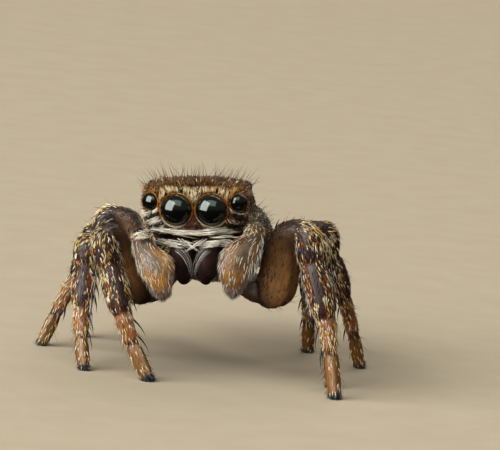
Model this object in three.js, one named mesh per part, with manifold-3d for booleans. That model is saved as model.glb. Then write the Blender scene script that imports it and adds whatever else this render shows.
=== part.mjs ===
// A jumping spider standing on eight legs, life size.
// Millimetres, +Z up. The spider faces -Y, so its own left side is +X.
// The origin is on the floor, under the middle of the bounding box.

import * as THREE from 'three';
import { mergeVertices } from 'three/addons/utils/BufferGeometryUtils.js';
import Module from 'manifold-3d';

const wasm = await Module();
wasm.setup();

// ---------------------------------------------------------------- driving dimensions

// The body frame starts midway between the two large front eyes. It is turned by these
// angles and stands this high. Knees and feet are measured from the point on the floor
// under that midpoint.
const EYE_HEIGHT = 4.04;
const BODY_YAW = -4;
const BODY_ROLL = -5.6;
const NOSE_UP = 3;

// Gap that touching solids keep.
const GAP = 0.025;

// Rows of the body's outlines along its length:
// [y, half width, top, level of the widest line, bottom, squareness of the section]
const CARAPACE = [
  [-0.11, 0.62, 0.30, 0.02, -0.40, 2.8],
  [-0.05, 0.92, 0.44, 0.05, -0.54, 3.2],
  [0.10, 1.13, 0.52, 0.08, -0.60, 3.4],
  [0.35, 1.25, 0.58, 0.10, -0.64, 3.5],
  [0.80, 1.29, 0.64, 0.06, -0.84, 3.4],
  [1.45, 1.31, 0.67, -0.05, -1.02, 3.2],
  [2.00, 1.34, 0.54, -0.35, -1.10, 2.7],
  [2.50, 1.27, 0.20, -0.62, -1.14, 2.3],
  [2.90, 1.06, -0.20, -0.80, -1.14, 2.1],
  [3.15, 0.76, -0.54, -0.88, -1.10, 2.0],
  [3.30, 0.42, -0.78, -0.92, -1.04, 2.0],
];
const STERNUM = [
  [0.55, 0.30, -0.80, -1.20, -1.46, 2.4],
  [0.80, 0.45, -0.75, -1.25, -1.68, 2.6],
  [1.30, 0.54, -0.75, -1.25, -1.80, 2.6],
  [1.90, 0.55, -0.75, -1.25, -1.82, 2.6],
  [2.50, 0.48, -0.80, -1.25, -1.78, 2.5],
  [2.95, 0.30, -0.90, -1.20, -1.62, 2.4],
];
const ABDOMEN = [
  [3.43, 0.32, -0.80, -1.00, -1.25, 2.0],
  [3.60, 0.68, -0.56, -1.04, -1.60, 2.1],
  [4.00, 1.08, -0.30, -1.10, -1.98, 2.1],
  [4.50, 1.32, -0.12, -1.12, -2.18, 2.1],
  [5.10, 1.44, -0.06, -1.14, -2.26, 2.1],
  [5.70, 1.40, -0.10, -1.14, -2.22, 2.1],
  [6.30, 1.18, -0.26, -1.14, -2.06, 2.1],
  [6.80, 0.88, -0.50, -1.12, -1.82, 2.1],
  [7.15, 0.58, -0.72, -1.10, -1.58, 2.0],
  [7.38, 0.30, -0.90, -1.10, -1.36, 2.0],
];
const CARAPACE_SIDES = 28;
const STERNUM_SIDES = 14;
const ABDOMEN_SIDES = 24;
const PEDICEL_RADIUS = 0.2;
const PEDICEL_LEVEL = -0.98;
const PEDICEL_SIDES = 12;

// Eyes of the left side:
// [name, x, y, z, radius, half thickness, degrees turned outwards, segments]
const EYES = [
  ['front_middle', 0.412, -0.06, 0.0, 0.376, 0.31, 3, 18],
  ['front_side', 1.035, 0.13, 0.165, 0.21, 0.15, 32, 14],
  ['small_side', 1.19, 0.86, 0.43, 0.052, 0.055, 90, 8],
  ['rear_side', 1.11, 1.47, 0.41, 0.15, 0.12, 110, 12],
];
// An eye has this many bands of faces from pole to pole for each segment round it.
const EYE_BANDS = 0.65;

// Four spinnerets stand on one small plate at the abdomen's tip.
const SPINNERET_ROOTS = [[0.13, -1.0], [0.14, -1.22]];
const SPINNERET_LENGTH = 0.32;
const SPINNERET_RADIUS = 0.1;
const SPINNERET_TIP_RADIUS = 0.06;
const SPINNERET_SIDES = 8;
const PLATE_RADIUS = 0.25;
const PLATE_DEPTH = 0.1;
const PLATE_LEVEL = -1.1;
const PLATE_SIDES = 16;

// Level sections of each jaw: [z, x, y, half width, half thickness]
const CHELICERA = [
  [-0.68, 0.30, 0.14, 0.22, 0.20],
  [-0.78, 0.305, 0.12, 0.265, 0.25],
  [-1.05, 0.305, 0.09, 0.275, 0.27],
  [-1.35, 0.295, 0.10, 0.26, 0.25],
  [-1.58, 0.275, 0.12, 0.22, 0.20],
  [-1.68, 0.26, 0.13, 0.14, 0.13],
];

// Each palp, in the body frame, has an arm that runs from beside the mouth, round an elbow,
// to a knob at the top of the bend. A broad blade hangs from the knob.
const PALP_ROOT = [0.76, 0.34, -1.47];
const PALP_ELBOW = [1.10, 0.02, -1.05];
const PALP_KNOB = { left: [1.42, -0.36, -0.44], right: [1.16, -0.36, -0.53] };
// How strongly the arm heads for its elbow, and then for its knob.
const PALP_RISE = 2;
const PALP_REACH = 1.6;
// The arm's last sections are set this far behind the blade that it carries.
const PALP_SETBACK = new THREE.Vector3(0, 0.3, -0.03);
// Sections of the arm: [place along it, radius in its own plane, radius across]
const PALP_ARM = [[0.0, 0.17, 0.17], [0.35, 0.21, 0.20], [0.7, 0.23, 0.20], [1.0, 0.20, 0.19]];
// Level sections of each blade: [z, x, y, half width, half thickness]
const PALP_BLADE = {
  left: [
    [-0.24, 1.44, -0.36, 0.11, 0.10],
    [-0.33, 1.445, -0.39, 0.21, 0.19],
    [-0.48, 1.45, -0.44, 0.25, 0.23],
    [-0.60, 1.35, -0.50, 0.33, 0.25],
    [-0.75, 1.235, -0.56, 0.425, 0.27],
    [-0.91, 1.165, -0.61, 0.47, 0.29],
    [-1.14, 1.105, -0.65, 0.47, 0.30],
    [-1.37, 1.06, -0.67, 0.435, 0.29],
    [-1.56, 1.02, -0.68, 0.35, 0.26],
    [-1.75, 0.985, -0.66, 0.265, 0.21],
    [-1.89, 0.972, -0.64, 0.19, 0.15],
    [-1.99, 0.97, -0.62, 0.08, 0.07],
  ],
  right: [
    [-0.40, 1.19, -0.36, 0.12, 0.10],
    [-0.46, 1.18, -0.39, 0.22, 0.20],
    [-0.58, 1.17, -0.43, 0.265, 0.24],
    [-0.74, 1.13, -0.50, 0.275, 0.25],
    [-0.89, 1.02, -0.56, 0.37, 0.25],
    [-1.03, 0.91, -0.60, 0.44, 0.27],
    [-1.19, 0.835, -0.64, 0.465, 0.29],
    [-1.35, 0.80, -0.66, 0.43, 0.30],
    [-1.58, 0.755, -0.68, 0.36, 0.27],
    [-1.78, 0.71, -0.67, 0.285, 0.23],
    [-1.93, 0.69, -0.65, 0.23, 0.18],
    [-2.05, 0.68, -0.62, 0.10, 0.08],
  ],
};
const PALP_ARM_SIDES = 10;
// Sides of the level sections of jaws and blades.
const LEVEL_SIDES = 14;

// Legs, pair by pair.
// root: how far back the coxa starts. hip: its place in the body frame.
// scale: of the leg's thickness. joints: where the three lower joints are, from knee to foot.
// bow: how far the shin bows outwards, as a part of its length.
const PAIRS = [
  { root: 1.10, hip: [1.36, 1.05, -2.12], scale: 1.0, joints: [0.20, 0.53, 0.73], bow: 0.05 },
  { root: 1.59, hip: [1.46, 1.60, -2.18], scale: 0.93, joints: [0.21, 0.53, 0.75], bow: 0.05 },
  { root: 2.10, hip: [1.44, 2.17, -2.15], scale: 0.88, joints: [0.20, 0.50, 0.77], bow: 0.03 },
  { root: 2.58, hip: [1.28, 2.70, -2.05], scale: 0.90, joints: [0.20, 0.50, 0.78], bow: 0.05 },
];
// The hips are swung this far sideways, because the spider leans to its right.
const HIP_SWAY = 0.14;
// Where each knee is and where each foot stands: [x, y, z] and [x, y].
const STANCE = {
  left: [
    { knee: [2.51, 0.20, 3.75], foot: [3.69, -0.50] },
    { knee: [2.69, 1.30, 3.45], foot: [3.60, 0.86] },
    { knee: [2.97, 2.60, 3.46], foot: [4.29, 3.86] },
    { knee: [2.58, 4.05, 3.20], foot: [3.02, 5.30] },
  ],
  right: [
    { knee: [-2.00, 0.40, 3.16], foot: [-0.66, -0.53] },
    { knee: [-2.32, 1.35, 2.83], foot: [-2.20, 0.06] },
    { knee: [-1.82, 2.40, 3.38], foot: [-3.34, 2.76] },
    { knee: [-2.27, 3.70, 2.72], foot: [-2.42, 4.40] },
  ],
};
// Sections of a leg: [place along the segment, radius in the leg's plane, radius across]
const COXA = [[0.0, 0.26, 0.24], [0.35, 0.30, 0.25], [0.75, 0.29, 0.25], [1.0, 0.25, 0.23]];
const FEMUR = [
  [0.0, 0.30, 0.25],
  [0.2, 0.49, 0.28],
  [0.45, 0.44, 0.31],
  [0.75, 0.36, 0.32],
  [1.0, 0.28, 0.29],
];
const PATELLA = [[0.0, 0.28, 0.29], [0.35, 0.35, 0.35], [0.75, 0.36, 0.34], [1.0, 0.31, 0.31]];
const TIBIA = [[0.3, 0.35, 0.34], [0.7, 0.34, 0.33], [1.0, 0.27, 0.27]];
const METATARSUS = [[0.0, 0.25, 0.25], [0.4, 0.245, 0.245], [1.0, 0.22, 0.22]];
const TARSUS = [[0.45, 0.22, 0.22], [0.78, 0.21, 0.21], [1.0, 0.19, 0.19]];
const LEG_SIDES = 10;
// How far the centre line swings out at the knee.
const KNEE_ROUNDING = 1.4;
// A leg's coxa starts this far from the midline, at this level.
const COXA_START = 0.60;
const COXA_LEVEL = -1.50;
// No coxa is scaled above this, so that neighbours keep clear of each other.
const COXA_MAX_SCALE = 0.93;
// This many pairs, counted from the front, have pale feet.
const PALE_PAIRS = 2;

// ---------------------------------------------------------------- finishes

const finish = (color, roughness, metalness = 0) => () =>
  new THREE.MeshStandardMaterial({ color, roughness, metalness });
const DARK_CUTICLE = finish(0x3a2a26, 0.55);
const BROWN_HAIR = finish(0x5a4030, 0.8);
const SHIN = finish(0x8a5a32, 0.6);
const FOOT = finish(0xb07a3e, 0.55);
const PALP_HAIR = finish(0xa07a50, 0.75);
const JAW = finish(0x231512, 0.35);
const EYE = finish(0x05060a, 0.05);

// ---------------------------------------------------------------- geometry helpers

const vector = (values) => new THREE.Vector3(...values);
const mirrored = (values, side) => [values[0] * side, ...values.slice(1)];
const sideName = (side) => (side > 0 ? 'left' : 'right');

// A closed solid from rings of equal length, each end closed by a fan.
function skin(rings) {
  const count = rings[0].length;
  const positions = [];
  const index = [];
  for (const ring of rings) {
    for (const point of ring) {
      positions.push(point.x, point.y, point.z);
    }
  }
  for (let i = 0; i < rings.length - 1; i += 1) {
    for (let j = 0; j < count; j += 1) {
      const a = i * count + j;
      const b = i * count + ((j + 1) % count);
      index.push(a, b, a + count, b, b + count, a + count);
    }
  }
  for (const [row, turned] of [[0, true], [rings.length - 1, false]]) {
    const centre = rings[row].reduce((sum, p) => sum.add(p), new THREE.Vector3());
    centre.divideScalar(count);
    const hub = positions.length / 3;
    positions.push(centre.x, centre.y, centre.z);
    for (let j = 0; j < count; j += 1) {
      const a = row * count + j;
      const b = row * count + ((j + 1) % count);
      index.push(...(turned ? [b, a, hub] : [a, b, hub]));
    }
  }
  const geometry = new THREE.BufferGeometry();
  geometry.setAttribute('position', new THREE.Float32BufferAttribute(positions, 3));
  geometry.setIndex(index);
  return facingOut(geometry);
}

// Turns every face round if the solid's volume comes out negative.
function facingOut(geometry) {
  const position = geometry.getAttribute('position');
  const corners = [0, 1, 2].map(() => new THREE.Vector3());
  const index = geometry.getIndex().array;
  let volume = 0;
  for (let i = 0; i < index.length; i += 3) {
    corners.forEach((corner, k) => corner.fromBufferAttribute(position, index[i + k]));
    volume += corners[0].dot(corners[1].clone().cross(corners[2]));
  }
  if (volume < 0) {
    for (let i = 0; i < index.length; i += 3) {
      [index[i], index[i + 1]] = [index[i + 1], index[i]];
    }
  }
  return geometry;
}

// One power curve of a rounded, squarish section.
const power = (value, squareness) => Math.sign(value) * Math.abs(value) ** (2 / squareness);

// A body solid from rows of [y, half width, top, widest level, bottom, squareness].
function bodyLoft(rows, sides) {
  const rings = rows.map(([y, halfWidth, top, middle, bottom, squareness]) => {
    const ring = [];
    for (let j = 0; j < sides; j += 1) {
      const angle = (2 * Math.PI * j) / sides;
      const x = halfWidth * power(Math.cos(angle), squareness);
      const reach = Math.sin(angle) > 0 ? top - middle : middle - bottom;
      const z = middle + reach * power(Math.sin(angle), squareness);
      ring.push(new THREE.Vector3(x, y, z));
    }
    return ring;
  });
  return skin(rings);
}

// An elliptical ring about a point, from two half axes given as vectors.
function ellipse(centre, halfA, halfB, sides) {
  const ring = [];
  for (let j = 0; j < sides; j += 1) {
    const angle = (2 * Math.PI * j) / sides;
    const point = centre.clone();
    point.addScaledVector(halfA, Math.cos(angle));
    point.addScaledVector(halfB, Math.sin(angle));
    ring.push(point);
  }
  return ring;
}

// A cubic stretch of path between two points with given tangents.
function stretch(start, end, startTangent, endTangent) {
  return {
    at(u) {
      const point = start.clone().multiplyScalar(2 * u ** 3 - 3 * u ** 2 + 1);
      point.addScaledVector(startTangent, u ** 3 - 2 * u ** 2 + u);
      point.addScaledVector(end, -2 * u ** 3 + 3 * u ** 2);
      return point.addScaledVector(endTangent, u ** 3 - u ** 2);
    },
    along(u) {
      const direction = start.clone().multiplyScalar(6 * u ** 2 - 6 * u);
      direction.addScaledVector(startTangent, 3 * u ** 2 - 4 * u + 1);
      direction.addScaledVector(end, -6 * u ** 2 + 6 * u);
      return direction.addScaledVector(endTangent, 3 * u ** 2 - 2 * u).normalize();
    },
  };
}

// Rings along a stretch, each square to it. across is the direction of the second radius.
function rings(path, rows, across, sides, scale = 1) {
  return rows.map(([u, radiusIn, radiusAcross]) => {
    const along = path.along(u);
    const inPlane = along.clone().cross(across).normalize();
    const level = inPlane.clone().cross(along).normalize();
    const halfA = inPlane.multiplyScalar(radiusIn * scale);
    return ellipse(path.at(u), halfA, level.multiplyScalar(radiusAcross * scale), sides);
  });
}

const shifted = (ring, direction, distance) =>
  ring.map((point) => point.clone().addScaledVector(direction, distance));

// A hanging solid from level sections of [z, x, y, half width, half thickness].
function levelLoft(sections, side) {
  return skin(sections.map(([z, x, y, halfWidth, halfThickness]) => ellipse(
    new THREE.Vector3(x * side, y, z),
    new THREE.Vector3(halfWidth, 0, 0),
    new THREE.Vector3(0, halfThickness, 0),
    LEVEL_SIDES,
  )));
}

// ---------------------------------------------------------------- solids that are joined

// Corners nearer than this are one corner.
const SAME_CORNER = 1e-5;

function toSolid(source) {
  const geometry = source.clone();
  geometry.deleteAttribute('normal');
  geometry.deleteAttribute('uv');
  const merged = mergeVertices(geometry, SAME_CORNER);
  return new wasm.Manifold(new wasm.Mesh({
    numProp: 3,
    vertProperties: new Float32Array(merged.getAttribute('position').array),
    triVerts: new Uint32Array(merged.getIndex().array),
  }));
}

function toGeometry(solid) {
  const mesh = solid.getMesh();
  const geometry = new THREE.BufferGeometry();
  geometry.setAttribute('position', new THREE.Float32BufferAttribute(mesh.vertProperties, 3));
  geometry.setIndex(new THREE.Uint32BufferAttribute(mesh.triVerts, 1));
  return geometry;
}

// ---------------------------------------------------------------- the scene graph

const spider = new THREE.Group();
const body = new THREE.Group();
body.position.set(0, 0, EYE_HEIGHT);
body.rotation.order = 'ZYX';
body.rotation.set(
  THREE.MathUtils.degToRad(-NOSE_UP),
  THREE.MathUtils.degToRad(BODY_ROLL),
  THREE.MathUtils.degToRad(BODY_YAW),
);
body.updateMatrixWorld(true);
spider.add(body);

function add(group, name, geometry, material) {
  const mesh = new THREE.Mesh(geometry, material());
  mesh.name = name;
  group.add(mesh);
  return mesh;
}

// An eye as a flattened ball, grown by a margin where it cuts its own socket.
function eyeBall([, x, y, z, radius, thickness, turn, segments], side, margin = 0) {
  const ball = new THREE.SphereGeometry(1, segments, Math.round(segments * EYE_BANDS));
  ball.rotateX(Math.PI / 2);
  ball.scale(radius + margin, thickness + margin, radius + margin);
  ball.rotateZ(THREE.MathUtils.degToRad(turn * side));
  return ball.translate(x * side, y, z);
}

function addEyes() {
  for (const side of [1, -1]) {
    for (const eye of EYES) {
      add(body, `eye_${sideName(side)}_${eye[0]}`, eyeBall(eye, side), EYE);
    }
  }
}

// The fused head and thorax, with a socket cut for each eye.
function addCephalothorax() {
  let solid = toSolid(bodyLoft(CARAPACE, CARAPACE_SIDES));
  solid = solid.add(toSolid(bodyLoft(STERNUM, STERNUM_SIDES)));
  for (const side of [1, -1]) {
    for (const eye of EYES) {
      solid = solid.subtract(toSolid(eyeBall(eye, side, GAP)));
    }
  }
  add(body, 'cephalothorax', toGeometry(solid), BROWN_HAIR);
}

function addAbdomen() {
  add(body, 'abdomen', bodyLoft(ABDOMEN, ABDOMEN_SIDES), BROWN_HAIR);
  const front = CARAPACE.at(-1)[0] + GAP;
  const back = ABDOMEN[0][0] - GAP;
  const pedicel = new THREE.CylinderGeometry(
    PEDICEL_RADIUS,
    PEDICEL_RADIUS,
    back - front,
    PEDICEL_SIDES,
  );
  pedicel.translate(0, (front + back) / 2, PEDICEL_LEVEL);
  add(body, 'pedicel', pedicel, DARK_CUTICLE);
}

// Two pairs of short tapered tubes, each sunk halfway into the plate.
function addSpinnerets() {
  const middle = ABDOMEN.at(-1)[0] + GAP + PLATE_DEPTH / 2;
  const plate = new THREE.CylinderGeometry(
    PLATE_RADIUS,
    PLATE_RADIUS,
    PLATE_DEPTH,
    PLATE_SIDES,
  );
  plate.translate(0, middle, PLATE_LEVEL);
  let solid = toSolid(plate);
  for (const [x, z] of SPINNERET_ROOTS) {
    for (const side of [1, -1]) {
      const tube = new THREE.CylinderGeometry(
        SPINNERET_TIP_RADIUS,
        SPINNERET_RADIUS,
        SPINNERET_LENGTH,
        SPINNERET_SIDES,
      );
      tube.translate(x * side, middle + SPINNERET_LENGTH / 2, z);
      solid = solid.add(toSolid(tube));
    }
  }
  add(body, 'spinnerets', toGeometry(solid), DARK_CUTICLE);
}

function addJaws() {
  for (const side of [1, -1]) {
    add(body, `chelicera_${sideName(side)}`, levelLoft(CHELICERA, side), JAW);
  }
}

function addPalps() {
  for (const side of [1, -1]) {
    const name = sideName(side);
    const root = vector(mirrored(PALP_ROOT, side));
    const elbow = vector(mirrored(PALP_ELBOW, side));
    const knob = vector(mirrored(PALP_KNOB[name], side));
    const rise = elbow.clone().sub(root).multiplyScalar(PALP_RISE);
    const reach = knob.clone().sub(elbow).multiplyScalar(PALP_REACH);
    const arm = stretch(root, knob, rise, reach);
    const across = new THREE.Vector3(1, 0, 0);
    const armRings = rings(arm, PALP_ARM, across, PALP_ARM_SIDES);
    const setBack = armRings.map((ring, i) => shifted(ring, PALP_SETBACK, Math.max(0, i - 1) / 2));
    add(body, `palp_${name}_arm`, skin(setBack), PALP_HAIR);
    add(body, `palp_${name}_blade`, levelLoft(PALP_BLADE[name], side), PALP_HAIR);
  }
}

// The centre line of one leg: hip, knee, three lower joints and foot, with a tangent at
// each, and the direction across the leg's plane.
function legLine(pair, stance, side) {
  const hip = vector(mirrored(PAIRS[pair].hip, side));
  hip.x += HIP_SWAY;
  hip.applyMatrix4(body.matrixWorld);
  const knee = vector(stance.knee);
  const foot = vector([...stance.foot, 0]);
  const shin = foot.clone().sub(knee);
  const outward = knee.clone().sub(hip).setZ(0).normalize();
  const bow = outward.clone().addScaledVector(shin, -outward.dot(shin) / shin.lengthSq());
  bow.normalize().multiplyScalar(PAIRS[pair].bow * shin.length());
  const joints = PAIRS[pair].joints.map((u) =>
    knee.clone().addScaledVector(shin, u).addScaledVector(bow, 4 * u * (1 - u)));
  const points = [hip, knee, ...joints, foot];
  const tangents = points.map((point, i) => {
    if (i === 0) {
      return outward.clone();
    }
    const before = point.clone().sub(points[i - 1]).normalize();
    const next = points[i + 1];
    const after = next ? next.clone().sub(point).normalize() : before;
    return before.clone().add(after).normalize();
  });
  const across = knee.clone().sub(hip).cross(shin).normalize();
  return { points, tangents, across };
}

function legStretch(line, i) {
  const length = line.points[i + 1].distanceTo(line.points[i]);
  const from = line.tangents[i].clone().multiplyScalar(length * (i === 1 ? KNEE_ROUNDING : 1));
  const to = line.tangents[i + 1].clone().multiplyScalar(length * (i === 0 ? KNEE_ROUNDING : 1));
  return stretch(line.points[i], line.points[i + 1], from, to);
}

function addLeg(pair, side) {
  const name = `leg_${sideName(side)}_${pair + 1}`;
  const stance = STANCE[sideName(side)][pair];
  const line = legLine(pair, stance, side);
  const { scale } = PAIRS[pair];
  const section = (i, rows) => rings(legStretch(line, i), rows, line.across, LEG_SIDES, scale);
  const trimmed = (sections, i, j) => {
    sections[0] = shifted(sections[0], line.tangents[i], GAP / 2);
    const last = sections.length - 1;
    sections[last] = shifted(sections[last], line.tangents[j], -GAP / 2);
    return skin(sections);
  };

  const hip = line.points[0];
  const start = vector([COXA_START * side, PAIRS[pair].root, COXA_LEVEL]);
  start.applyMatrix4(body.matrixWorld);
  const run = hip.clone().sub(start);
  const arrival = line.tangents[0].clone().multiplyScalar(run.length());
  const root = stretch(start, hip, run, arrival);
  const coxa = rings(root, COXA, line.across, LEG_SIDES, Math.min(scale, COXA_MAX_SCALE));
  coxa[coxa.length - 1] = shifted(coxa.at(-1), line.tangents[0], -GAP / 2);
  add(spider, `${name}_coxa`, skin(coxa), DARK_CUTICLE);

  add(spider, `${name}_femur`, trimmed(section(0, FEMUR), 0, 1), DARK_CUTICLE);

  const upper = [...section(1, PATELLA), ...section(2, TIBIA)];
  add(spider, `${name}_tibia`, trimmed(upper, 1, 3), BROWN_HAIR);

  const lower = [...section(3, METATARSUS), ...section(4, TARSUS)];
  lower[0] = shifted(lower[0], line.tangents[3], GAP / 2);
  // The foot is cut flat at the floor.
  const sole = lower.at(-1);
  const along = line.tangents.at(-1);
  lower[lower.length - 1] = sole.map((p) => p.clone().addScaledVector(along, -p.z / along.z));
  add(spider, `${name}_foot`, skin(lower), pair < PALE_PAIRS ? FOOT : SHIN);
}

addCephalothorax();
addEyes();
addAbdomen();
addSpinnerets();
addJaws();
addPalps();
for (const side of [1, -1]) {
  for (let pair = 0; pair < PAIRS.length; pair += 1) {
    addLeg(pair, side);
  }
}

// The model is moved so that the origin lies under the middle of its box.
spider.updateMatrixWorld(true);
const box = new THREE.Box3().setFromObject(spider, true);
spider.position.set(-(box.min.x + box.max.x) / 2, -(box.min.y + box.max.y) / 2, 0);
spider.updateMatrixWorld(true);

export default spider;
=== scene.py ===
import math

import bmesh
import bpy
import numpy as np
from mathutils import Matrix, Vector
from mathutils.bvhtree import BVHTree
from mathutils.kdtree import KDTree


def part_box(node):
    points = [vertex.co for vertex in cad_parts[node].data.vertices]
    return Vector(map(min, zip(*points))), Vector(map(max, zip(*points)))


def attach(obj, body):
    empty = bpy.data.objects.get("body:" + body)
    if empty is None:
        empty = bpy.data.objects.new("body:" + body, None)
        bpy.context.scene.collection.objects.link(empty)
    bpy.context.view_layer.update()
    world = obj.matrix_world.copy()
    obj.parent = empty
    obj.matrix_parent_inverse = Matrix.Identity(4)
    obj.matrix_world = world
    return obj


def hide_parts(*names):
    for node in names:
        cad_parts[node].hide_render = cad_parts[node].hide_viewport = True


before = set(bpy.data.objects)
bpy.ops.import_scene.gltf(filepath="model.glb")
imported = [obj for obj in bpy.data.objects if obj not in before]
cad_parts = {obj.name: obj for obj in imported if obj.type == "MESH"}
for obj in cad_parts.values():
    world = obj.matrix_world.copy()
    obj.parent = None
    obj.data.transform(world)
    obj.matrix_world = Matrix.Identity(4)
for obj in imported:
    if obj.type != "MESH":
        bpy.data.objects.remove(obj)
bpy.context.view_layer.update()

# A jumping spider, life size, standing on eight legs. One skin covers its body, palps and
# legs; the eyes, jaws and claws are pieces of their own; scales, hairs and bristles grow
# over the skin. Shapes are worked out in millimetres, in a frame whose origin is on the
# floor under the large front eyes: the spider faces -Y and its own left side is +X.

MM = 0.001

# ---------------------------------------------------------------- sizes of the body

EYE_HEIGHT = 4.04
BODY_YAW = -4
BODY_ROLL = -5.6
NOSE_UP = 3
EYE_LINE_SETBACK = -0.06

# Rows of [y, half width, top, level of the widest line, bottom, squareness]
CARAPACE = [
    [-0.11, 0.62, 0.30, 0.02, -0.40, 2.8],
    [-0.05, 0.92, 0.44, 0.05, -0.54, 3.2],
    [0.10, 1.13, 0.52, 0.08, -0.60, 3.4],
    [0.35, 1.25, 0.58, 0.10, -0.64, 3.5],
    [0.80, 1.29, 0.64, 0.06, -0.84, 3.4],
    [1.45, 1.31, 0.67, -0.05, -1.02, 3.2],
    [2.00, 1.34, 0.54, -0.35, -1.10, 2.7],
    [2.50, 1.27, 0.20, -0.62, -1.14, 2.3],
    [2.90, 1.06, -0.20, -0.80, -1.14, 2.1],
    [3.15, 0.76, -0.54, -0.88, -1.10, 2.0],
    [3.30, 0.42, -0.78, -0.92, -1.04, 2.0],
]
STERNUM = [
    [0.55, 0.30, -0.80, -1.20, -1.46, 2.4],
    [0.80, 0.45, -0.75, -1.25, -1.68, 2.6],
    [1.30, 0.54, -0.75, -1.25, -1.80, 2.6],
    [1.90, 0.55, -0.75, -1.25, -1.82, 2.6],
    [2.50, 0.48, -0.80, -1.25, -1.78, 2.5],
    [2.95, 0.30, -0.90, -1.20, -1.62, 2.4],
]
ABDOMEN = [
    [3.43, 0.32, -0.80, -1.00, -1.25, 2.0],
    [3.60, 0.68, -0.56, -1.04, -1.60, 2.1],
    [4.00, 1.08, -0.30, -1.10, -1.98, 2.1],
    [4.50, 1.32, -0.12, -1.12, -2.18, 2.1],
    [5.10, 1.44, -0.06, -1.14, -2.26, 2.1],
    [5.70, 1.40, -0.10, -1.14, -2.22, 2.1],
    [6.30, 1.18, -0.26, -1.14, -2.06, 2.1],
    [6.80, 0.88, -0.50, -1.12, -1.82, 2.1],
    [7.15, 0.58, -0.72, -1.10, -1.58, 2.0],
    [7.38, 0.30, -0.90, -1.10, -1.36, 2.0],
]
PEDICEL = [[3.1, 0.2, -0.78, -0.98, -1.18, 2.0], [3.7, 0.2, -0.78, -0.98, -1.18, 2.0]]
# Spinnerets of the left side: [x, z]
SPINNERETS = [[0.13, -1.0], [0.14, -1.22]]
SPINNERET_START = 7.2
SPINNERET_LENGTH = 0.6
SPINNERET_RADII = [0.12, 0.10, 0.05]

# Eyes of the left side: name, x, y, z, radius, half thickness, degrees turned outwards.
# The first two are the front eyes, which look ahead.
EYES = [
    ("front_middle", 0.412, -0.06, 0.0, 0.376, 0.31, 3),
    ("front_side", 1.035, 0.13, 0.165, 0.21, 0.15, 32),
    ("small_side", 1.19, 0.86, 0.43, 0.052, 0.055, 90),
    ("rear_side", 1.11, 1.47, 0.41, 0.15, 0.12, 110),
]
FRONT_EYES = EYES[:2]
# The short turret that carries each eye: how much wider than the lens, how deep.
TURRET_MARGIN = 0.025
TURRET_DEPTH = 0.3
# How far a turret reaches past the lens's middle, and its share of the margin.
FRONT_TURRET = (0.04, 1)
SIDE_TURRET = (-0.05, 0.4)
# Round a lens the skin lies this far behind its widest circle, out to this far from its edge.
# Skin further than the depth in front of the lens's middle is left alone.
SOCKET_SETBACK = 0.03
SOCKET_EDGE = 0.07
SOCKET_DEPTH = 0.4

# Jaws: [z, x, y, side-to-side radius, front-to-back radius]
CHELICERA = [
    [-0.66, 0.30, 0.16, 0.20, 0.18],
    [-0.78, 0.305, 0.12, 0.262, 0.245],
    [-1.05, 0.305, 0.09, 0.272, 0.265],
    [-1.35, 0.295, 0.10, 0.258, 0.248],
    [-1.58, 0.275, 0.12, 0.215, 0.195],
    [-1.68, 0.26, 0.13, 0.13, 0.12],
]
# Each fang, folded in under its jaw: [x, y, z, radius]
FANG = [
    [0.33, 0.16, -1.60, 0.08],
    [0.31, 0.20, -1.70, 0.062],
    [0.23, 0.25, -1.74, 0.042],
    [0.13, 0.30, -1.70, 0.02],
    [0.07, 0.33, -1.64, 0.004],
]

PALP_ROOT = [0.76, 0.34, -1.47]
PALP_ELBOW = [1.10, 0.02, -1.05]
PALP_KNOB = {1: [1.42, -0.36, -0.44], -1: [1.16, -0.36, -0.53]}
PALP_SETBACK = [0.0, 0.3, -0.03]
# Rows of [place, half width across, half thickness]
PALP_ARM = [[0.0, 0.17, 0.17], [0.35, 0.20, 0.21], [0.7, 0.20, 0.23], [1.0, 0.19, 0.20]]
# Sections of each hanging blade: [z, x, y, half width, half thickness]
PALP_BLADE = {
    1: [
        [-0.24, 1.44, -0.36, 0.11, 0.10],
        [-0.33, 1.445, -0.39, 0.21, 0.19],
        [-0.48, 1.45, -0.44, 0.25, 0.23],
        [-0.60, 1.35, -0.50, 0.33, 0.25],
        [-0.75, 1.235, -0.56, 0.425, 0.27],
        [-0.91, 1.165, -0.61, 0.47, 0.29],
        [-1.14, 1.105, -0.65, 0.47, 0.30],
        [-1.37, 1.06, -0.67, 0.435, 0.29],
        [-1.56, 1.02, -0.68, 0.35, 0.26],
        [-1.75, 0.985, -0.66, 0.265, 0.21],
        [-1.89, 0.972, -0.64, 0.19, 0.15],
        [-1.99, 0.97, -0.62, 0.08, 0.07],
    ],
    -1: [
        [-0.40, 1.19, -0.36, 0.12, 0.10],
        [-0.46, 1.18, -0.39, 0.22, 0.20],
        [-0.58, 1.17, -0.43, 0.265, 0.24],
        [-0.74, 1.13, -0.50, 0.275, 0.25],
        [-0.89, 1.02, -0.56, 0.37, 0.25],
        [-1.03, 0.91, -0.60, 0.44, 0.27],
        [-1.19, 0.835, -0.64, 0.465, 0.29],
        [-1.35, 0.80, -0.66, 0.43, 0.30],
        [-1.58, 0.755, -0.68, 0.36, 0.27],
        [-1.78, 0.71, -0.67, 0.285, 0.23],
        [-1.93, 0.69, -0.65, 0.23, 0.18],
        [-2.05, 0.68, -0.62, 0.10, 0.08],
    ],
}

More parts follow.
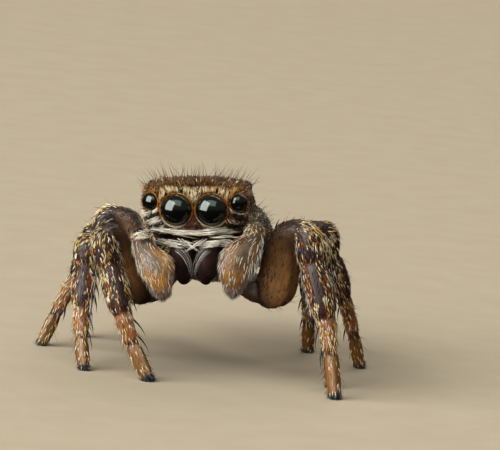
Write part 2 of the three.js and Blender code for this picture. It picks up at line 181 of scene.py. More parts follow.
# Pairs of legs from the front: where the coxa starts, the hip in the body's frame, the scale of
# the leg's thickness, where its lower joints lie between knee and foot, and how much the shin bows.
PAIRS = [
    {"root": 1.10, "hip": [1.36, 1.05, -2.12], "scale": 1.0, "joints": [0.2, 0.53, 0.73], "bow": 0.05},
    {"root": 1.59, "hip": [1.46, 1.6, -2.18], "scale": 0.93, "joints": [0.21, 0.53, 0.75], "bow": 0.05},
    {"root": 2.1, "hip": [1.44, 2.17, -2.15], "scale": 0.88, "joints": [0.2, 0.5, 0.77], "bow": 0.03},
    {"root": 2.58, "hip": [1.28, 2.7, -2.05], "scale": 0.9, "joints": [0.2, 0.5, 0.78], "bow": 0.05},
]
# How far all the hips are shifted towards the body's +X.
HIP_SWAY = 0.14
# Knees and feet of the pairs, for the left side (1) and the right side (-1).
STANCE = {
    1: [
        {"knee": [2.51, 0.20, 3.75], "foot": [3.69, -0.50, 0]},
        {"knee": [2.69, 1.30, 3.45], "foot": [3.60, 0.86, 0]},
        {"knee": [2.97, 2.60, 3.46], "foot": [4.29, 3.86, 0]},
        {"knee": [2.58, 4.05, 3.20], "foot": [3.02, 5.30, 0]},
    ],
    -1: [
        {"knee": [-2.00, 0.40, 3.16], "foot": [-0.66, -0.53, 0]},
        {"knee": [-2.32, 1.35, 2.83], "foot": [-2.20, 0.06, 0]},
        {"knee": [-1.82, 2.40, 3.38], "foot": [-3.34, 2.76, 0]},
        {"knee": [-2.27, 3.70, 2.72], "foot": [-2.42, 4.40, 0]},
    ],
}
KNEE_ROUNDING = 1.4
COXA_START = 0.60
COXA_LEVEL = -1.50
THICKEST_COXA = 0.93
# From coxa to tarsus: rows of [place along it, radius in the leg's plane, radius across it]
SEGMENTS = [
    [[0.0, 0.26, 0.24], [0.35, 0.30, 0.25], [0.75, 0.29, 0.25], [1.0, 0.25, 0.23]],
    [[0.0, 0.30, 0.25], [0.2, 0.50, 0.28], [0.45, 0.47, 0.31], [0.75, 0.39, 0.32], [1.0, 0.30, 0.30]],
    [[0.0, 0.30, 0.30], [0.35, 0.37, 0.35], [0.75, 0.36, 0.34], [1.0, 0.31, 0.31]],
    [[0.0, 0.31, 0.31], [0.3, 0.35, 0.34], [0.7, 0.34, 0.33], [1.0, 0.27, 0.27]],
    [[0.0, 0.25, 0.25], [0.4, 0.245, 0.245], [1.0, 0.22, 0.22]],
    [[0.0, 0.21, 0.21], [0.45, 0.215, 0.215], [0.78, 0.20, 0.20], [1.0, 0.17, 0.17]],
]
COXA, FEMUR, PATELLA, TIBIA, METATARSUS, TARSUS = PARTS = range(6)
# How much a segment narrows where it meets the next, and over what length.
JOINT_NECK = 0.26
JOINT_REACH = 0.06

# How deep the coat lies over the skin.
COAT_ON_BODY = 0.05
COAT_ON_LEG = 0.045
COAT_ON_FOOT = 0.03
COAT_ON_FACE = 0.015

# The grain of the skin's remesh.
VOXEL = 0.0495
# Each hair's or scale's patch on the coat's unwrap.
PATCH = 0.003

# How finely each shape is divided: sections along it, points round it.
CARAPACE_GRID = (56, 72)
STERNUM_GRID = (16, 28)
PEDICEL_GRID = (4, 16)
ABDOMEN_GRID = (60, 64)
SPINNERET_GRID = (6, 12)
TURRET_GRID = (8, 24)
SEGMENT_GRID = (14, 20)
PALP_ARM_GRID = (12, 18)
BLADE_GRID = (44, 28)
JAW_GRID = (30, 32)
FANG_GRID = (14, 10)
LENS_GRID = (32, 48)
CAP_STEPS = 5

# ---------------------------------------------------------------- colours

def paint(code):
    """A linear colour from a six-figure screen colour, by the screen's standard curve."""
    screen = np.array([int(code[i:i + 2], 16) for i in (0, 2, 4)]) / 255
    return np.where(screen <= 0.04045, screen / 12.92, ((screen + 0.055) / 1.055) ** 2.4)


# The middles of a leg's sides: degrees round it from the outer, upper side.
DORSAL, FRONT, BACK = 0, 58, 302

BLACK = paint("0d0b0b")
UMBER = paint("2b1d17")
CUTICLE = paint("3a2a26")
MAUVE = paint("6b5b60")
BROWN = paint("5e4028")
RUST = paint("9c4a1a")
ORANGE = paint("d9781d")
GOLD = paint("cfa250")
HONEY = paint("bd8440")
CREAM = paint("efe2bd")
WHITE = paint("f3ecdf")
SLATE = paint("2b3338")
PALE_GREY = paint("b5b0aa")


def blend(first, second, share):
    share = np.clip(np.asarray(share, float), 0, 1)[..., None]
    return first * (1 - share) + second * share


def ramp(low, high, value):
    """0 below low, 1 above high, smooth between."""
    t = np.clip((np.asarray(value, float) - low) / (high - low), 0, 1)
    return t * t * (3 - 2 * t)


def hump(value, middle, reach):
    return np.exp(-((np.asarray(value, float) - middle) / reach) ** 2)


def turn_apart(angle, middle):
    """How far apart two angles are, in degrees."""
    return np.abs((np.degrees(angle) - middle + 180) % 360 - 180)


# ---------------------------------------------------------------- frames

UPRIGHT = [0, 0, 1]


def turned(axis, degrees):
    return np.array(Matrix.Rotation(math.radians(degrees), 3, axis))


BODY_TURN = turned("Z", BODY_YAW) @ turned("Y", BODY_ROLL) @ turned("X", -NOSE_UP)


def from_body(points):
    return np.asarray(points, float) @ BODY_TURN.T + [0, 0, EYE_HEIGHT]


def to_body(points):
    return (np.asarray(points, float) - [0, 0, EYE_HEIGHT]) @ BODY_TURN


def box_middle(node):
    low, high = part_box(node)
    return np.array((low + high) / 2) / MM


EYES_MIDDLE = (box_middle("eye_left_front_middle") + box_middle("eye_right_front_middle")) / 2
SHIFT = EYES_MIDDLE - from_body([0, EYE_LINE_SETBACK, 0])
SHIFT[2] = 0


def to_frame(points):
    """Millimetres by the front eyes' foot point, to metres in the model's frame."""
    return (np.asarray(points, float) + SHIFT) * MM


def unit(vectors):
    vectors = np.asarray(vectors, float)
    return vectors / np.maximum(np.linalg.norm(vectors, axis=-1, keepdims=True), 1e-12)


def mirrored(point, side):
    return np.array([point[0] * side, *point[1:]], float)


def side_name(side):
    return "left" if side > 0 else "right"


# ---------------------------------------------------------------- grids of points

def through(rows, count):
    """A table's rows, filled in by a smooth curve through all of them."""
    rows = np.asarray(rows, float)
    padded = np.vstack([2 * rows[0] - rows[1], rows, 2 * rows[-1] - rows[-2]])
    place = np.linspace(0, len(rows) - 1, count)
    first = np.minimum(place.astype(int), len(rows) - 2)
    t = (place - first)[:, None]
    a, b, c, d = (padded[first + k] for k in range(4))
    return 0.5 * (2 * b + (c - a) * t + (2 * a - 5 * b + 4 * c - d) * t ** 2
                  + (3 * b - a - 3 * c + d) * t ** 3)


def angles(sides):
    return np.arange(sides) * (2 * np.pi / sides)


def body_rings(rows, count, sides):
    """Rounded squarish sections across the body; angle 0 is its left side, 90 its top."""
    y, half, top, middle, bottom, square = (column[:, None] for column in through(rows, count).T)
    angle = angles(sides)[None, :]

    def power(value):
        return np.sign(value) * np.abs(value) ** (2 / square)

    x = half * power(np.cos(angle))
    reach = np.where(np.sin(angle) > 0, top - middle, middle - bottom)
    z = middle + reach * power(np.sin(angle))
    return np.stack([x, np.broadcast_to(y, x.shape), z], -1)


def stretch(start, end, leave, arrive):
    """A cubic stretch of path, and its direction."""
    start, end, leave, arrive = (np.asarray(v, float) for v in (start, end, leave, arrive))

    def at(u):
        u = np.asarray(u, float)[..., None]
        return (start * (2 * u ** 3 - 3 * u ** 2 + 1) + leave * (u ** 3 - 2 * u ** 2 + u)
                + end * (3 * u ** 2 - 2 * u ** 3) + arrive * (u ** 3 - u ** 2))

    def along(u):
        u = np.asarray(u, float)[..., None]
        return unit(start * (6 * u ** 2 - 6 * u) + leave * (3 * u ** 2 - 4 * u + 1)
                    + end * (6 * u - 6 * u ** 2) + arrive * (3 * u ** 2 - 2 * u))

    return at, along


def rings_on(path, rows, across, count, sides, handed=1):
    """Elliptical sections square to a path. Angle 0 lies in the limb's plane."""
    at, along = path
    table = through(rows, count)
    forward = along(table[:, 0])
    flat = unit(np.cross(forward, across))
    level = unit(np.cross(flat, forward)) * handed
    angle = angles(sides)[None, :, None]
    spread = flat[:, None] * table[:, 1, None, None] * np.cos(angle)
    lift = level[:, None] * table[:, 2, None, None] * np.sin(angle)
    return at(table[:, 0])[:, None] + spread + lift


class Limb:
    """A closed grid of rings, with the segment and the place along it of every ring."""

    def __init__(self, kind, rings, segment, place, side=0, pair=0, bulge=0.3, in_body=False):
        self.kind, self.side, self.pair = kind, side, pair
        rings = from_body(rings) if in_body else rings
        front = self.cap(rings[0], rings[1], bulge)
        back = self.cap(rings[-1], rings[-2], bulge)
        self.grid = np.concatenate([front[::-1], rings, back])
        self.segment = np.pad(segment, CAP_STEPS, mode="edge")
        self.place = np.pad(np.asarray(place, float), CAP_STEPS, mode="edge")
        self.angle = angles(self.grid.shape[1])
        middles = self.grid.mean(1)
        gaps = np.linalg.norm(np.diff(middles, axis=0), axis=1)
        self.run = np.concatenate([[0], np.cumsum(gaps)])

    @staticmethod
    def cap(ring, neighbour, bulge):
        """Shrinking rings that close one end of a tube."""
        middle = ring.mean(0)
        outward = unit(middle - neighbour.mean(0))
        reach = np.linalg.norm(ring - middle, axis=1).mean() * bulge
        swing = np.linspace(0, np.pi / 2, CAP_STEPS + 1)[1:]
        return np.array([middle + (ring - middle) * math.cos(a) + outward * reach * math.sin(a)
                         for a in swing])

    def facts(self):
        """Segment, place and angle of every point of the grid, flattened."""
        rings, sides = self.grid.shape[:2]
        return (np.repeat(self.segment, sides), np.repeat(self.place, sides),
                np.tile(self.angle, rings))

    def grain(self):
        """The limb as if straightened: two coordinates across it and one along it."""
        middles = self.grid.mean(1, keepdims=True)
        radius = np.linalg.norm(self.grid - middles, axis=-1)
        flat = np.stack([radius * np.cos(self.angle), radius * np.sin(self.angle),
                         np.broadcast_to(self.run[:, None], radius.shape)], -1)
        return flat.reshape(-1, 3)

    def scatter(self, count, chance):
        """Points spread evenly over the limb, with their facts and the way towards its tip."""
        grid = np.concatenate([self.grid, self.grid[:, :1]], axis=1)
        down = grid[1:, :-1] - grid[:-1, :-1]
        round_it = grid[:-1, 1:] - grid[:-1, :-1]
        area = np.linalg.norm(np.cross(down, round_it), axis=-1)
        total = np.cumsum(area.ravel())
        wanted = (np.arange(count) + chance.random(count)) / count * total[-1]
        cell = np.minimum(np.searchsorted(total, wanted), total.size - 1)
        i, j = np.divmod(cell, area.shape[1])
        u, v = chance.random((2, count, 1))
        near = grid[i, j] * (1 - v) + grid[i, j + 1] * v
        far = grid[i + 1, j] * (1 - v) + grid[i + 1, j + 1] * v
        middles = self.grid.mean(1)
        window = 2
        ahead = np.minimum(i + window, len(middles) - 1)
        behind = np.maximum(i - window, 0)
        place = self.place[i] + (self.place[i + 1] - self.place[i]) * u[:, 0]
        place = np.where(self.segment[i] == self.segment[i + 1], place, self.place[i])
        angle = (j + v[:, 0]) * (2 * np.pi / area.shape[1])
        return {"point": near * (1 - u) + far * u, "along": unit(middles[ahead] - middles[behind]),
                "segment": self.segment[i], "place": place, "angle": angle}


def plain_limb(kind, rings, side=0, bulge=0.3):
    """A limb of one segment, given in the body's frame."""
    count = len(rings)
    place = np.linspace(0, 1, count)
    return Limb(kind, rings, np.zeros(count, int), place, side, bulge=bulge, in_body=True)


# ---------------------------------------------------------------- the limbs

def turret(eye, side):
    """The short tube that an eye sits in."""
    _, x, y, z, radius, thickness, turn = eye
    reach, margin = FRONT_TURRET if eye in FRONT_EYES else SIDE_TURRET
    outward = turned("Z", turn * side) @ np.array([0, -1, 0])
    middle = np.array([x * side, y, z])
    start = middle - outward * TURRET_DEPTH
    end = middle + outward * thickness * reach
    wide = radius + TURRET_MARGIN * margin
    path = stretch(start, end, end - start, end - start)
    rows = [[0, wide * 1.12, wide * 1.12], [0.5, wide * 1.08, wide * 1.08], [1, wide, wide]]
    return plain_limb("turret", rings_on(path, rows, UPRIGHT, *TURRET_GRID), side, 0.05)


def leg_line(pair, side):
    """A leg's joints from hip to foot, the direction at each, and the way across its plane."""
    hip = from_body(mirrored(PAIRS[pair]["hip"], side) + [HIP_SWAY, 0, 0])
    knee, foot = (np.array(STANCE[side][pair][key], float) for key in ("knee", "foot"))
    shin = foot - knee
    outward = unit((knee - hip) * [1, 1, 0])
    bow = unit(outward - shin * (outward @ shin) / (shin @ shin))
    bow = bow * PAIRS[pair]["bow"] * np.linalg.norm(shin)
    joints = [knee + shin * u + bow * 4 * u * (1 - u) for u in PAIRS[pair]["joints"]]
    points = [hip, knee, *joints, foot]
    ways = [unit(b - a) for a, b in zip(points, points[1:])]
    tangents = [outward] + [unit(a + b) for a, b in zip(ways, ways[1:])] + [ways[-1]]
    return points, tangents, unit(np.cross(knee - hip, shin))


def leg(pair, side):
    """A leg's segments from the coxa to the foot, as one tube that narrows at its joints."""
    points, tangents, across = leg_line(pair, side)
    scale = PAIRS[pair]["scale"]
    start = from_body([COXA_START * side, PAIRS[pair]["root"], COXA_LEVEL])
    run = points[0] - start
    paths = [stretch(start, points[0], run, tangents[0] * np.linalg.norm(run))]
    for i in range(len(points) - 1):
        length = np.linalg.norm(points[i + 1] - points[i])
        leave = tangents[i] * length * (KNEE_ROUNDING if i == 1 else 1)
        arrive = tangents[i + 1] * length * (KNEE_ROUNDING if i == 0 else 1)
        paths.append(stretch(points[i], points[i + 1], leave, arrive))
    rings, segment, place = [], [], []
    steps, sides = SEGMENT_GRID
    for part, rows, path in zip(PARTS, SEGMENTS, paths):
        size = min(scale, THICKEST_COXA) if part == COXA else scale
        table = through(rows, steps)
        neck = np.zeros(steps)
        if part > COXA:
            neck += hump(table[:, 0], 0, JOINT_REACH)
        if part < TARSUS:
            neck += hump(table[:, 0], 1, JOINT_REACH)
        table[:, 1:] *= size * (1 - JOINT_NECK * neck[:, None] * 0.5)
        rings.append(rings_on(path, table, across, steps, sides, -side))
        segment += [part] * steps
        place += list(table[:, 0])
    return Limb("leg", np.concatenate(rings), segment, place, side, pair)


def palp(side):
    """The arm from beside the mouth up to the knob, and the broad blade that hangs from it."""
    middles = (PALP_KNOB[side], PALP_ROOT, PALP_ELBOW)
    knob, root, elbow = (mirrored(point, side) for point in middles)
    arm_path = stretch(root, knob, (elbow - root) * 2, (knob - elbow) * 1.6)
    arm_rows = [[u, thick, wide] for u, wide, thick in PALP_ARM]
    arm = rings_on(arm_path, arm_rows, [1, 0, 0], *PALP_ARM_GRID)
    arm += np.linspace(-0.5, 1, len(arm)).clip(0)[:, None, None] * np.array(PALP_SETBACK)
    steps, sides = BLADE_GRID
    z, x, y, wide, thick = (column[:, None] for column in through(PALP_BLADE[side], steps).T)
    angle = angles(sides)[None, :]
    blade = np.stack([x * side + wide * np.sin(angle), y - thick * np.cos(angle),
                      np.broadcast_to(z, BLADE_GRID)], -1)
    place = ((z - z[0]) / (z[-1] - z[0])).ravel()
    hanging = Limb("palp", blade, np.zeros(steps, int), place, side, in_body=True)
    return [plain_limb("palp_arm", arm, side), hanging]


def spinneret(x, z):
    start, along = np.array([x, SPINNERET_START, z]), np.array([0, SPINNERET_LENGTH, 0])
    end = start + along
    rows = [[u, r, r] for u, r in zip((0, 0.5, 1), SPINNERET_RADII)]
    rings = rings_on(stretch(start, end, along, along), rows, UPRIGHT, *SPINNERET_GRID)
    return plain_limb("spinneret", rings)


LIMBS = [
    plain_limb("carapace", body_rings(CARAPACE, *CARAPACE_GRID), bulge=0.06),
    plain_limb("sternum", body_rings(STERNUM, *STERNUM_GRID)),
    plain_limb("pedicel", body_rings(PEDICEL, *PEDICEL_GRID)),
    plain_limb("abdomen", body_rings(ABDOMEN, *ABDOMEN_GRID)),
]
LIMBS += [spinneret(x * side, z) for x, z in SPINNERETS for side in (1, -1)]
for way in (1, -1):
    LIMBS += [turret(eye, way) for eye in EYES]
    LIMBS += palp(way)
    LIMBS += [leg(number, way) for number in range(len(PAIRS))]

# ---------------------------------------------------------------- markings

# What turns a grid corner into its own random value.
CORNER_WAY = [127.1, 311.7, 74.7]
SEED_STEP = 17.3
SCATTERING = 43758.5453


def mottle(points, size, seed=0):
    """Smooth random values from 0 to 1, in patches of about the given size."""
    cell = np.asarray(points, float) / size
    low = np.floor(cell)
    t = cell - low
    t = t * t * (3 - 2 * t)
    total = np.zeros(len(cell))
    for corner in np.ndindex(2, 2, 2):
        value = np.sin((low + corner) @ CORNER_WAY + seed * SEED_STEP) * SCATTERING
        share = np.prod(np.where(np.array(corner) == 1, t, 1 - t), axis=1)
        total += (value - np.floor(value)) * share
    return total


def bare_face(angle):
    """How far round a leg a place is from the bare stripes of its front and back."""
    return np.minimum(turn_apart(angle, FRONT), turn_apart(angle, BACK))


# The rear pairs are darker.
PAIR_SHADE = (1.0, 0.95, 0.8, 0.8)


def leg_tint(segment, place, angle, pair):
    """Bare cuticle of a leg: dark above the metatarsus, honey brown below, with painted shade on the
    femur and a painted highlight along the tarsus.
    """
    side_face = bare_face(angle)
    patch = mottle(np.column_stack([segment + place, np.cos(angle), np.sin(angle)]), 0.35, 6)
    under = ramp(40, 95, turn_apart(angle, DORSAL))
    # Partly its own colour, partly painted shade: the femur is black above and brown beneath near the
    # hip, and is painted darker towards the knee, where it lies in shade.
    femur = blend(BLACK * 1.4, paint("976b40"), under * ramp(0.0, 0.35, place))
    femur = blend(femur, BLACK * 1.4, ramp(0.4, 0.85, place) * 0.75)
    upper = blend(CUTICLE * 0.55, paint("382a2c"), hump(side_face, 0, 20) * 0.8)
    burnt = ramp(0.6, 0.92, place) * (segment == PATELLA) + 0.6 * (segment == TIBIA)
    upper = blend(upper, RUST, burnt * ramp(0.45, 0.7, patch) * ramp(15, 35, side_face))
    metatarsus = blend(paint("8c6650"), paint("935424"), ramp(0.4, 0.65, patch))
    # Painted highlight: a pale stripe along the tarsus's front and back faces, lighter than its honey
    # brown.
    shine = hump(side_face, 4, 11) * ramp(0.0, 0.15, place)
    tarsus = blend(paint("75502a"), paint("bd9a7c"), shine * 0.7)
    coxa = np.broadcast_to(BROWN * 0.35, femur.shape)
    tint = np.select([(segment == part)[:, None] for part in PARTS],
                     [coxa, femur, upper, upper, metatarsus, tarsus])
    lower_ring = ramp(0.88, 0.96, place) * np.isin(segment, (PATELLA, TIBIA, METATARSUS))
    upper_ring = ramp(0.08, 0.0, place) * np.isin(segment, (TIBIA, METATARSUS, TARSUS))
    tint = blend(tint, paint("2e120b"), np.maximum(lower_ring, 0.8 * upper_ring) * 0.95)
    tint = blend(tint, SLATE, ramp(0.84, 0.9, place) * (segment == TARSUS))
    return tint * PAIR_SHADE[pair]


def carapace_tint(points):
    """Brown with pale flanks and a pale stripe behind, black towards the face and under it."""
    x, y, z = to_body(points).T
    tint = blend(UMBER, BROWN, mottle(points, 0.35, 3) * 0.5)
    flank = hump(z, -0.42, 0.2) * ramp(0.25, 0.6, y) * ramp(3.0, 2.4, y)
    tint = blend(tint, CREAM * 0.7, flank * 0.8)
    stripe = hump(x, 0, 0.22) * ramp(1.5, 1.9, y)
    tint = blend(tint, CREAM * 0.55, stripe * 0.6)
    tint = blend(tint, BLACK, ramp(0.35, 0.0, y) * 0.8)
    return blend(tint, BLACK, ramp(-0.5, -0.62, z) * ramp(1.2, 0.8, y) * 0.9)


def abdomen_pattern(points):
    """How pale the abdomen is: a broken stripe down the middle, chevrons and speckled sides."""
    x, y, z = to_body(points).T
    top = ramp(-1.25, -0.7, z)
    middle = hump(x, 0, 0.16 + 0.05 * np.sin(y * 5)) * ramp(7.2, 6.6, y)
    chevron_phase = (y - 0.55 * np.abs(x)) / 0.62
    chevron = ramp(0.62, 0.9, np.cos(2 * np.pi * chevron_phase)) * ramp(4.3, 4.9, y)
    chevron = chevron * ramp(1.05, 0.55, np.abs(x))
    shoulder = hump(np.abs(x) + 0.25 * (y - 4.2), 1.0, 0.16) * ramp(5.4, 4.4, y)
    speckle = ramp(0.58, 0.72, mottle(points, 0.12, 9))
    pale = np.maximum.reduce([middle * 0.75, chevron, shoulder * 0.8, speckle * 0.35])
    return pale * (0.35 + 0.65 * top)


def abdomen_tint(points):
    """Brown, greyer below, with the pale pattern over it."""
    z = to_body(points)[:, 2]
    tint = blend(UMBER * 1.2, BROWN, mottle(points, 0.4, 5) * 0.6)
    tint = blend(tint, PALE_GREY * 0.5, ramp(-1.5, -1.9, z) * 0.8)
    return blend(tint, CREAM * 0.7, abdomen_pattern(points) * 0.7)


# How the left palp (1) and the right one (-1) are coloured: the cold and the honey brown, how far in
# the honey starts, how strong it is at the outer edge, and the glint on the inner one; then the middle
# and reach across the blade of the silvery patch of painted sheen, which lies on the side turned
# towards the key lamp, and its strength.
PALP_LOOK = {
    # Painted shade: the left palp's cold and honey browns are darker than the right's, as it is turned
    # away from the key lamp.
    1: ("40311d", "7c5420", 0.0, 0.9, 0.0, -0.6, 0.25, 0.35),
    -1: ("5f4d3a", "b07a2b", 0.3, 0.2, 1.0, -0.3, 0.4, 0.6),
}


def palp_tint(place, angle, side, kind):
    """Greyish brown above, honey brown at the tip and along the inner edge, with a silvery patch of
    painted sheen.
    """
    if kind == "palp_arm":
        return np.tile(paint("4d372c"), (len(place), 1))
    cold, honey, inset, outer_share, glint, middle, reach, painted_sheen_share = PALP_LOOK[side]
    across = np.sin(angle)
    inward = -across * side
    inner = ramp(-0.25, 0.6, inward - inset) * ramp(0.12, 0.3, place)
    outer = ramp(0.2, 0.9, across * side) * ramp(0.2, 0.35, place) * outer_share
    warm = np.maximum.reduce([ramp(0.45, 0.75, place), inner, outer])
    tint = blend(paint(cold), paint(honey), warm)
    tint = blend(tint, paint("d99b3a"), ramp(0.75, 1.0, inward) * ramp(0.3, 0.4, place) * glint)
    tint = blend(tint, paint("7d5220"), ramp(0.62, 0.9, place) * 0.85)
    tint = blend(tint, paint("6b3d1c"), hump(place, 0.24, 0.08) * ramp(0.3, 0.9, inward) * 0.8)
    # Painted sheen: a silvery grey patch on the blade's front, on the side turned towards the key lamp.
    painted_sheen = hump(place, 0.44, 0.13) * hump(across, middle, reach) * (np.cos(angle) > 0)
    tint = blend(tint, paint("a0958b"), painted_sheen * painted_sheen_share)
    return blend(tint, paint("54402f"), ramp(0.26, 0.14, place) * 0.9)


def finish_of(limb):
    """Tint, gloss, fur and coat depth at every point of a limb's grid."""
    points = limb.grid.reshape(-1, 3)
    segment, place, angle = limb.facts()
    even = np.ones(len(points))
    if limb.kind == "leg":
        bare = hump(bare_face(angle), 0, 30) * np.isin(segment, (PATELLA, TIBIA))
        low = np.isin(segment, (METATARSUS, TARSUS))
        gloss = bare + 0.9 * (segment == TARSUS) + 0.45 * low + 0.6 * (segment <= FEMUR)
        gloss = np.clip(gloss, 0, 1)
        depth = np.where(segment == TARSUS, COAT_ON_FOOT, COAT_ON_LEG)
        tint = leg_tint(segment, place, angle, limb.pair)
        return tint, gloss, 1 - 0.7 * gloss - 0.1 * low, depth
    if limb.kind == "abdomen":
        return abdomen_tint(points), even * 0.15, even, even * COAT_ON_BODY
    if limb.kind.startswith("palp"):
        tint = palp_tint(place, angle, limb.side, limb.kind)
        return tint, even * 0.3, even * 0.6, even * COAT_ON_FOOT
    if limb.kind == "turret":
        return np.tile(BLACK, (len(points), 1)), even * 0.1, even * 0.3, even * COAT_ON_FACE
    if limb.kind == "carapace":
        face = ramp(0.3, 0.0, to_body(points)[:, 1])
        depth = COAT_ON_BODY + (COAT_ON_FACE - COAT_ON_BODY) * face
        return carapace_tint(points), 0.3 - 0.25 * face, 1 - 0.3 * face, depth
    return np.tile(UMBER * 1.4, (len(points), 1)), even * 0.4, even * 0.5, even * COAT_ON_LEG


# ---------------------------------------------------------------- meshes

def grid_faces(rings, sides, first=0):
    i, j = np.meshgrid(np.arange(rings - 1), np.arange(sides), indexing="ij")
    a = first + i * sides + j
    b = first + i * sides + (j + 1) % sides
    return np.stack([a, b, b + sides, a + sides], -1).reshape(-1, 4)


def joined(name, grids):
    """One mesh of closed grids, its poles merged and its faces pointing outwards."""
    points, faces, first = [], [], 0
    for grid in grids:
        points.append(grid.reshape(-1, 3))
        faces.append(grid_faces(*grid.shape[:2], first))
        first += len(points[-1])
    mesh = bpy.data.meshes.new(name)
    mesh.from_pydata(np.concatenate(points).tolist(), [], np.concatenate(faces).tolist())
    work = bmesh.new()
    work.from_mesh(mesh)
    bmesh.ops.remove_doubles(work, verts=work.verts, dist=1e-5)
    bmesh.ops.recalc_face_normals(work, faces=work.faces)
    work.to_mesh(mesh)
    work.free()
    return mesh


def shown(name, mesh, material=None):
    piece = bpy.data.objects.new(name, mesh)
    bpy.context.scene.collection.objects.link(piece)
    if material:
        mesh.materials.clear()
        mesh.materials.append(material)
    return piece


def baked(piece):
    """The piece's mesh with its modifiers applied; the piece itself is removed."""
    depsgraph = bpy.context.evaluated_depsgraph_get()
    source = piece.evaluated_get(depsgraph)
    mesh = bpy.data.meshes.new_from_object(source, preserve_all_data_layers=True,
                                           depsgraph=depsgraph)
    bpy.data.objects.remove(piece)
    return mesh


def corners(mesh):
    values = np.empty(len(mesh.vertices) * 3)
    mesh.vertices.foreach_get("co", values)
    return values.reshape(-1, 3)


def store(mesh, name, kind, values):
    """Writes one attribute of the mesh's points."""
    values = np.asarray(values, float)
    field = {"FLOAT": "value", "FLOAT_VECTOR": "vector", "FLOAT_COLOR": "color"}[kind]
    if kind == "FLOAT_COLOR":
        values = np.column_stack([values, np.ones(len(values))])
    attribute = mesh.attributes.new(name, kind, "POINT")
    attribute.data.foreach_set(field, np.ascontiguousarray(values, dtype=np.float32).ravel())


# The columns of what is known at a point: tint, gloss, fur, the coat's depth and the grain.
TINT, GLOSS, FUR, DEPTH, GRAIN = slice(0, 3), 3, 4, slice(5, 6), slice(6, 9)
# How many grid points are mixed, and the empty share round a limb's cell of the unwrap.
NEIGHBOURS = 4
CELL_MARGIN = 0.06


class Lookup:
    """What the limbs' grids say about any point near them."""

    def __init__(self, limbs):
        self.points = np.concatenate([limb.grid.reshape(-1, 3) for limb in limbs])
        self.tree = KDTree(len(self.points))
        for index, point in enumerate(self.points):
            self.tree.insert(point, index)
        self.tree.balance()
        self.facts = np.concatenate(
            [np.column_stack([*finish_of(limb), limb.grain()]) for limb in limbs])
        self.unwrap = np.concatenate(
            [self.cell(limb, index, len(limbs)) for index, limb in enumerate(limbs)])

    @staticmethod
    def cell(limb, index, total):
        """A limb's own rectangle in the coat's unwrap: round it one way, along it the other."""
        columns = math.ceil(math.sqrt(total))
        column, row = index % columns, index // columns
        rings, sides = limb.grid.shape[:2]
        around = np.tile(limb.angle / (2 * np.pi), rings)
        along = np.repeat(limb.run / limb.run[-1], sides)
        spread = 1 - 2 * CELL_MARGIN
        return np.stack([(column + CELL_MARGIN + spread * around) / columns,
                         (row + CELL_MARGIN + spread * along) / columns], -1)

    def facts_at(self, points):
        """Facts mixed from the nearest grid points; the grain is that of the very nearest."""
        found = [self.tree.find_n(point, NEIGHBOURS) for point in points]
        index = np.array([[hit[1] for hit in hits] for hits in found])
        weight = 1 / (np.array([[hit[2] for hit in hits] for hits in found]) ** 2 + 1e-4)
        weight /= weight.sum(1, keepdims=True)
        smooth = (self.facts[index] * weight[..., None]).sum(1)
        smooth[:, GRAIN] = self.facts[index[:, 0], GRAIN]
        return smooth

    def unwrap_at(self, points):
        return self.unwrap[[self.tree.find(point)[1] for point in points]]


NEAR = Lookup(LIMBS)


def clear_of_lenses(points):
    """Moves the skin round each front lens back behind its widest circle."""
    place = to_body(points)
    for side in (1, -1):
        for _, x, y, z, radius, _, turn in FRONT_EYES:
            spin = turned("Z", turn * side)
            local = (place - [x * side, y, z]) @ spin
            behind = local[:, 1]
            apart = np.hypot(local[:, 0], local[:, 2])
            near = (behind < SOCKET_SETBACK) & (behind > -SOCKET_DEPTH)
            near &= apart < radius + SOCKET_EDGE
            slope = ramp(radius + 0.2 * SOCKET_EDGE, radius + SOCKET_EDGE, apart)
            back = SOCKET_SETBACK + (behind - SOCKET_SETBACK) * slope
            local[:, 1] = np.where(near, back, behind)
            place = local @ spin.T + [x * side, y, z]
    return from_body(place)


def skin_mesh():
    """One closed skin round all limbs, sunk by the depth of the coat that covers it.

    Comes with a search tree of its faces, in millimetres."""
    rough = shown("rough", joined("rough", [limb.grid for limb in LIMBS]))
    remesh = rough.modifiers.new("one skin", "REMESH")
    remesh.mode = "VOXEL"
    remesh.voxel_size = VOXEL
    remesh.use_smooth_shade = True
    smooth = rough.modifiers.new("smooth", "SMOOTH")
    smooth.factor = 0.5
    smooth.iterations = 4
    mesh = baked(rough)
    points = corners(mesh)
    normals = np.empty(points.size)
    mesh.vertex_normals.foreach_get("vector", normals)
    facts = NEAR.facts_at(points)
    sunk = points - normals.reshape(-1, 3) * facts[:, DEPTH]
    sunk = clear_of_lenses(sunk)
    sunk[:, 2] = np.maximum(sunk[:, 2], 0)
    faces = np.empty(len(mesh.loops), dtype=np.int32)
    mesh.loops.foreach_get("vertex_index", faces)
    tree = BVHTree.FromPolygons(sunk.tolist(), faces.reshape(-1, 4).tolist())
    mesh.vertices.foreach_set("co", to_frame(sunk).ravel())
    store(mesh, "tint", "FLOAT_COLOR", facts[:, TINT])
    store(mesh, "gloss", "FLOAT", facts[:, GLOSS])
    store(mesh, "fur", "FLOAT", facts[:, FUR])
    store(mesh, "grain", "FLOAT_VECTOR", facts[:, GRAIN])
    mesh.update()
    return mesh, tree


# ---------------------------------------------------------------- finishes

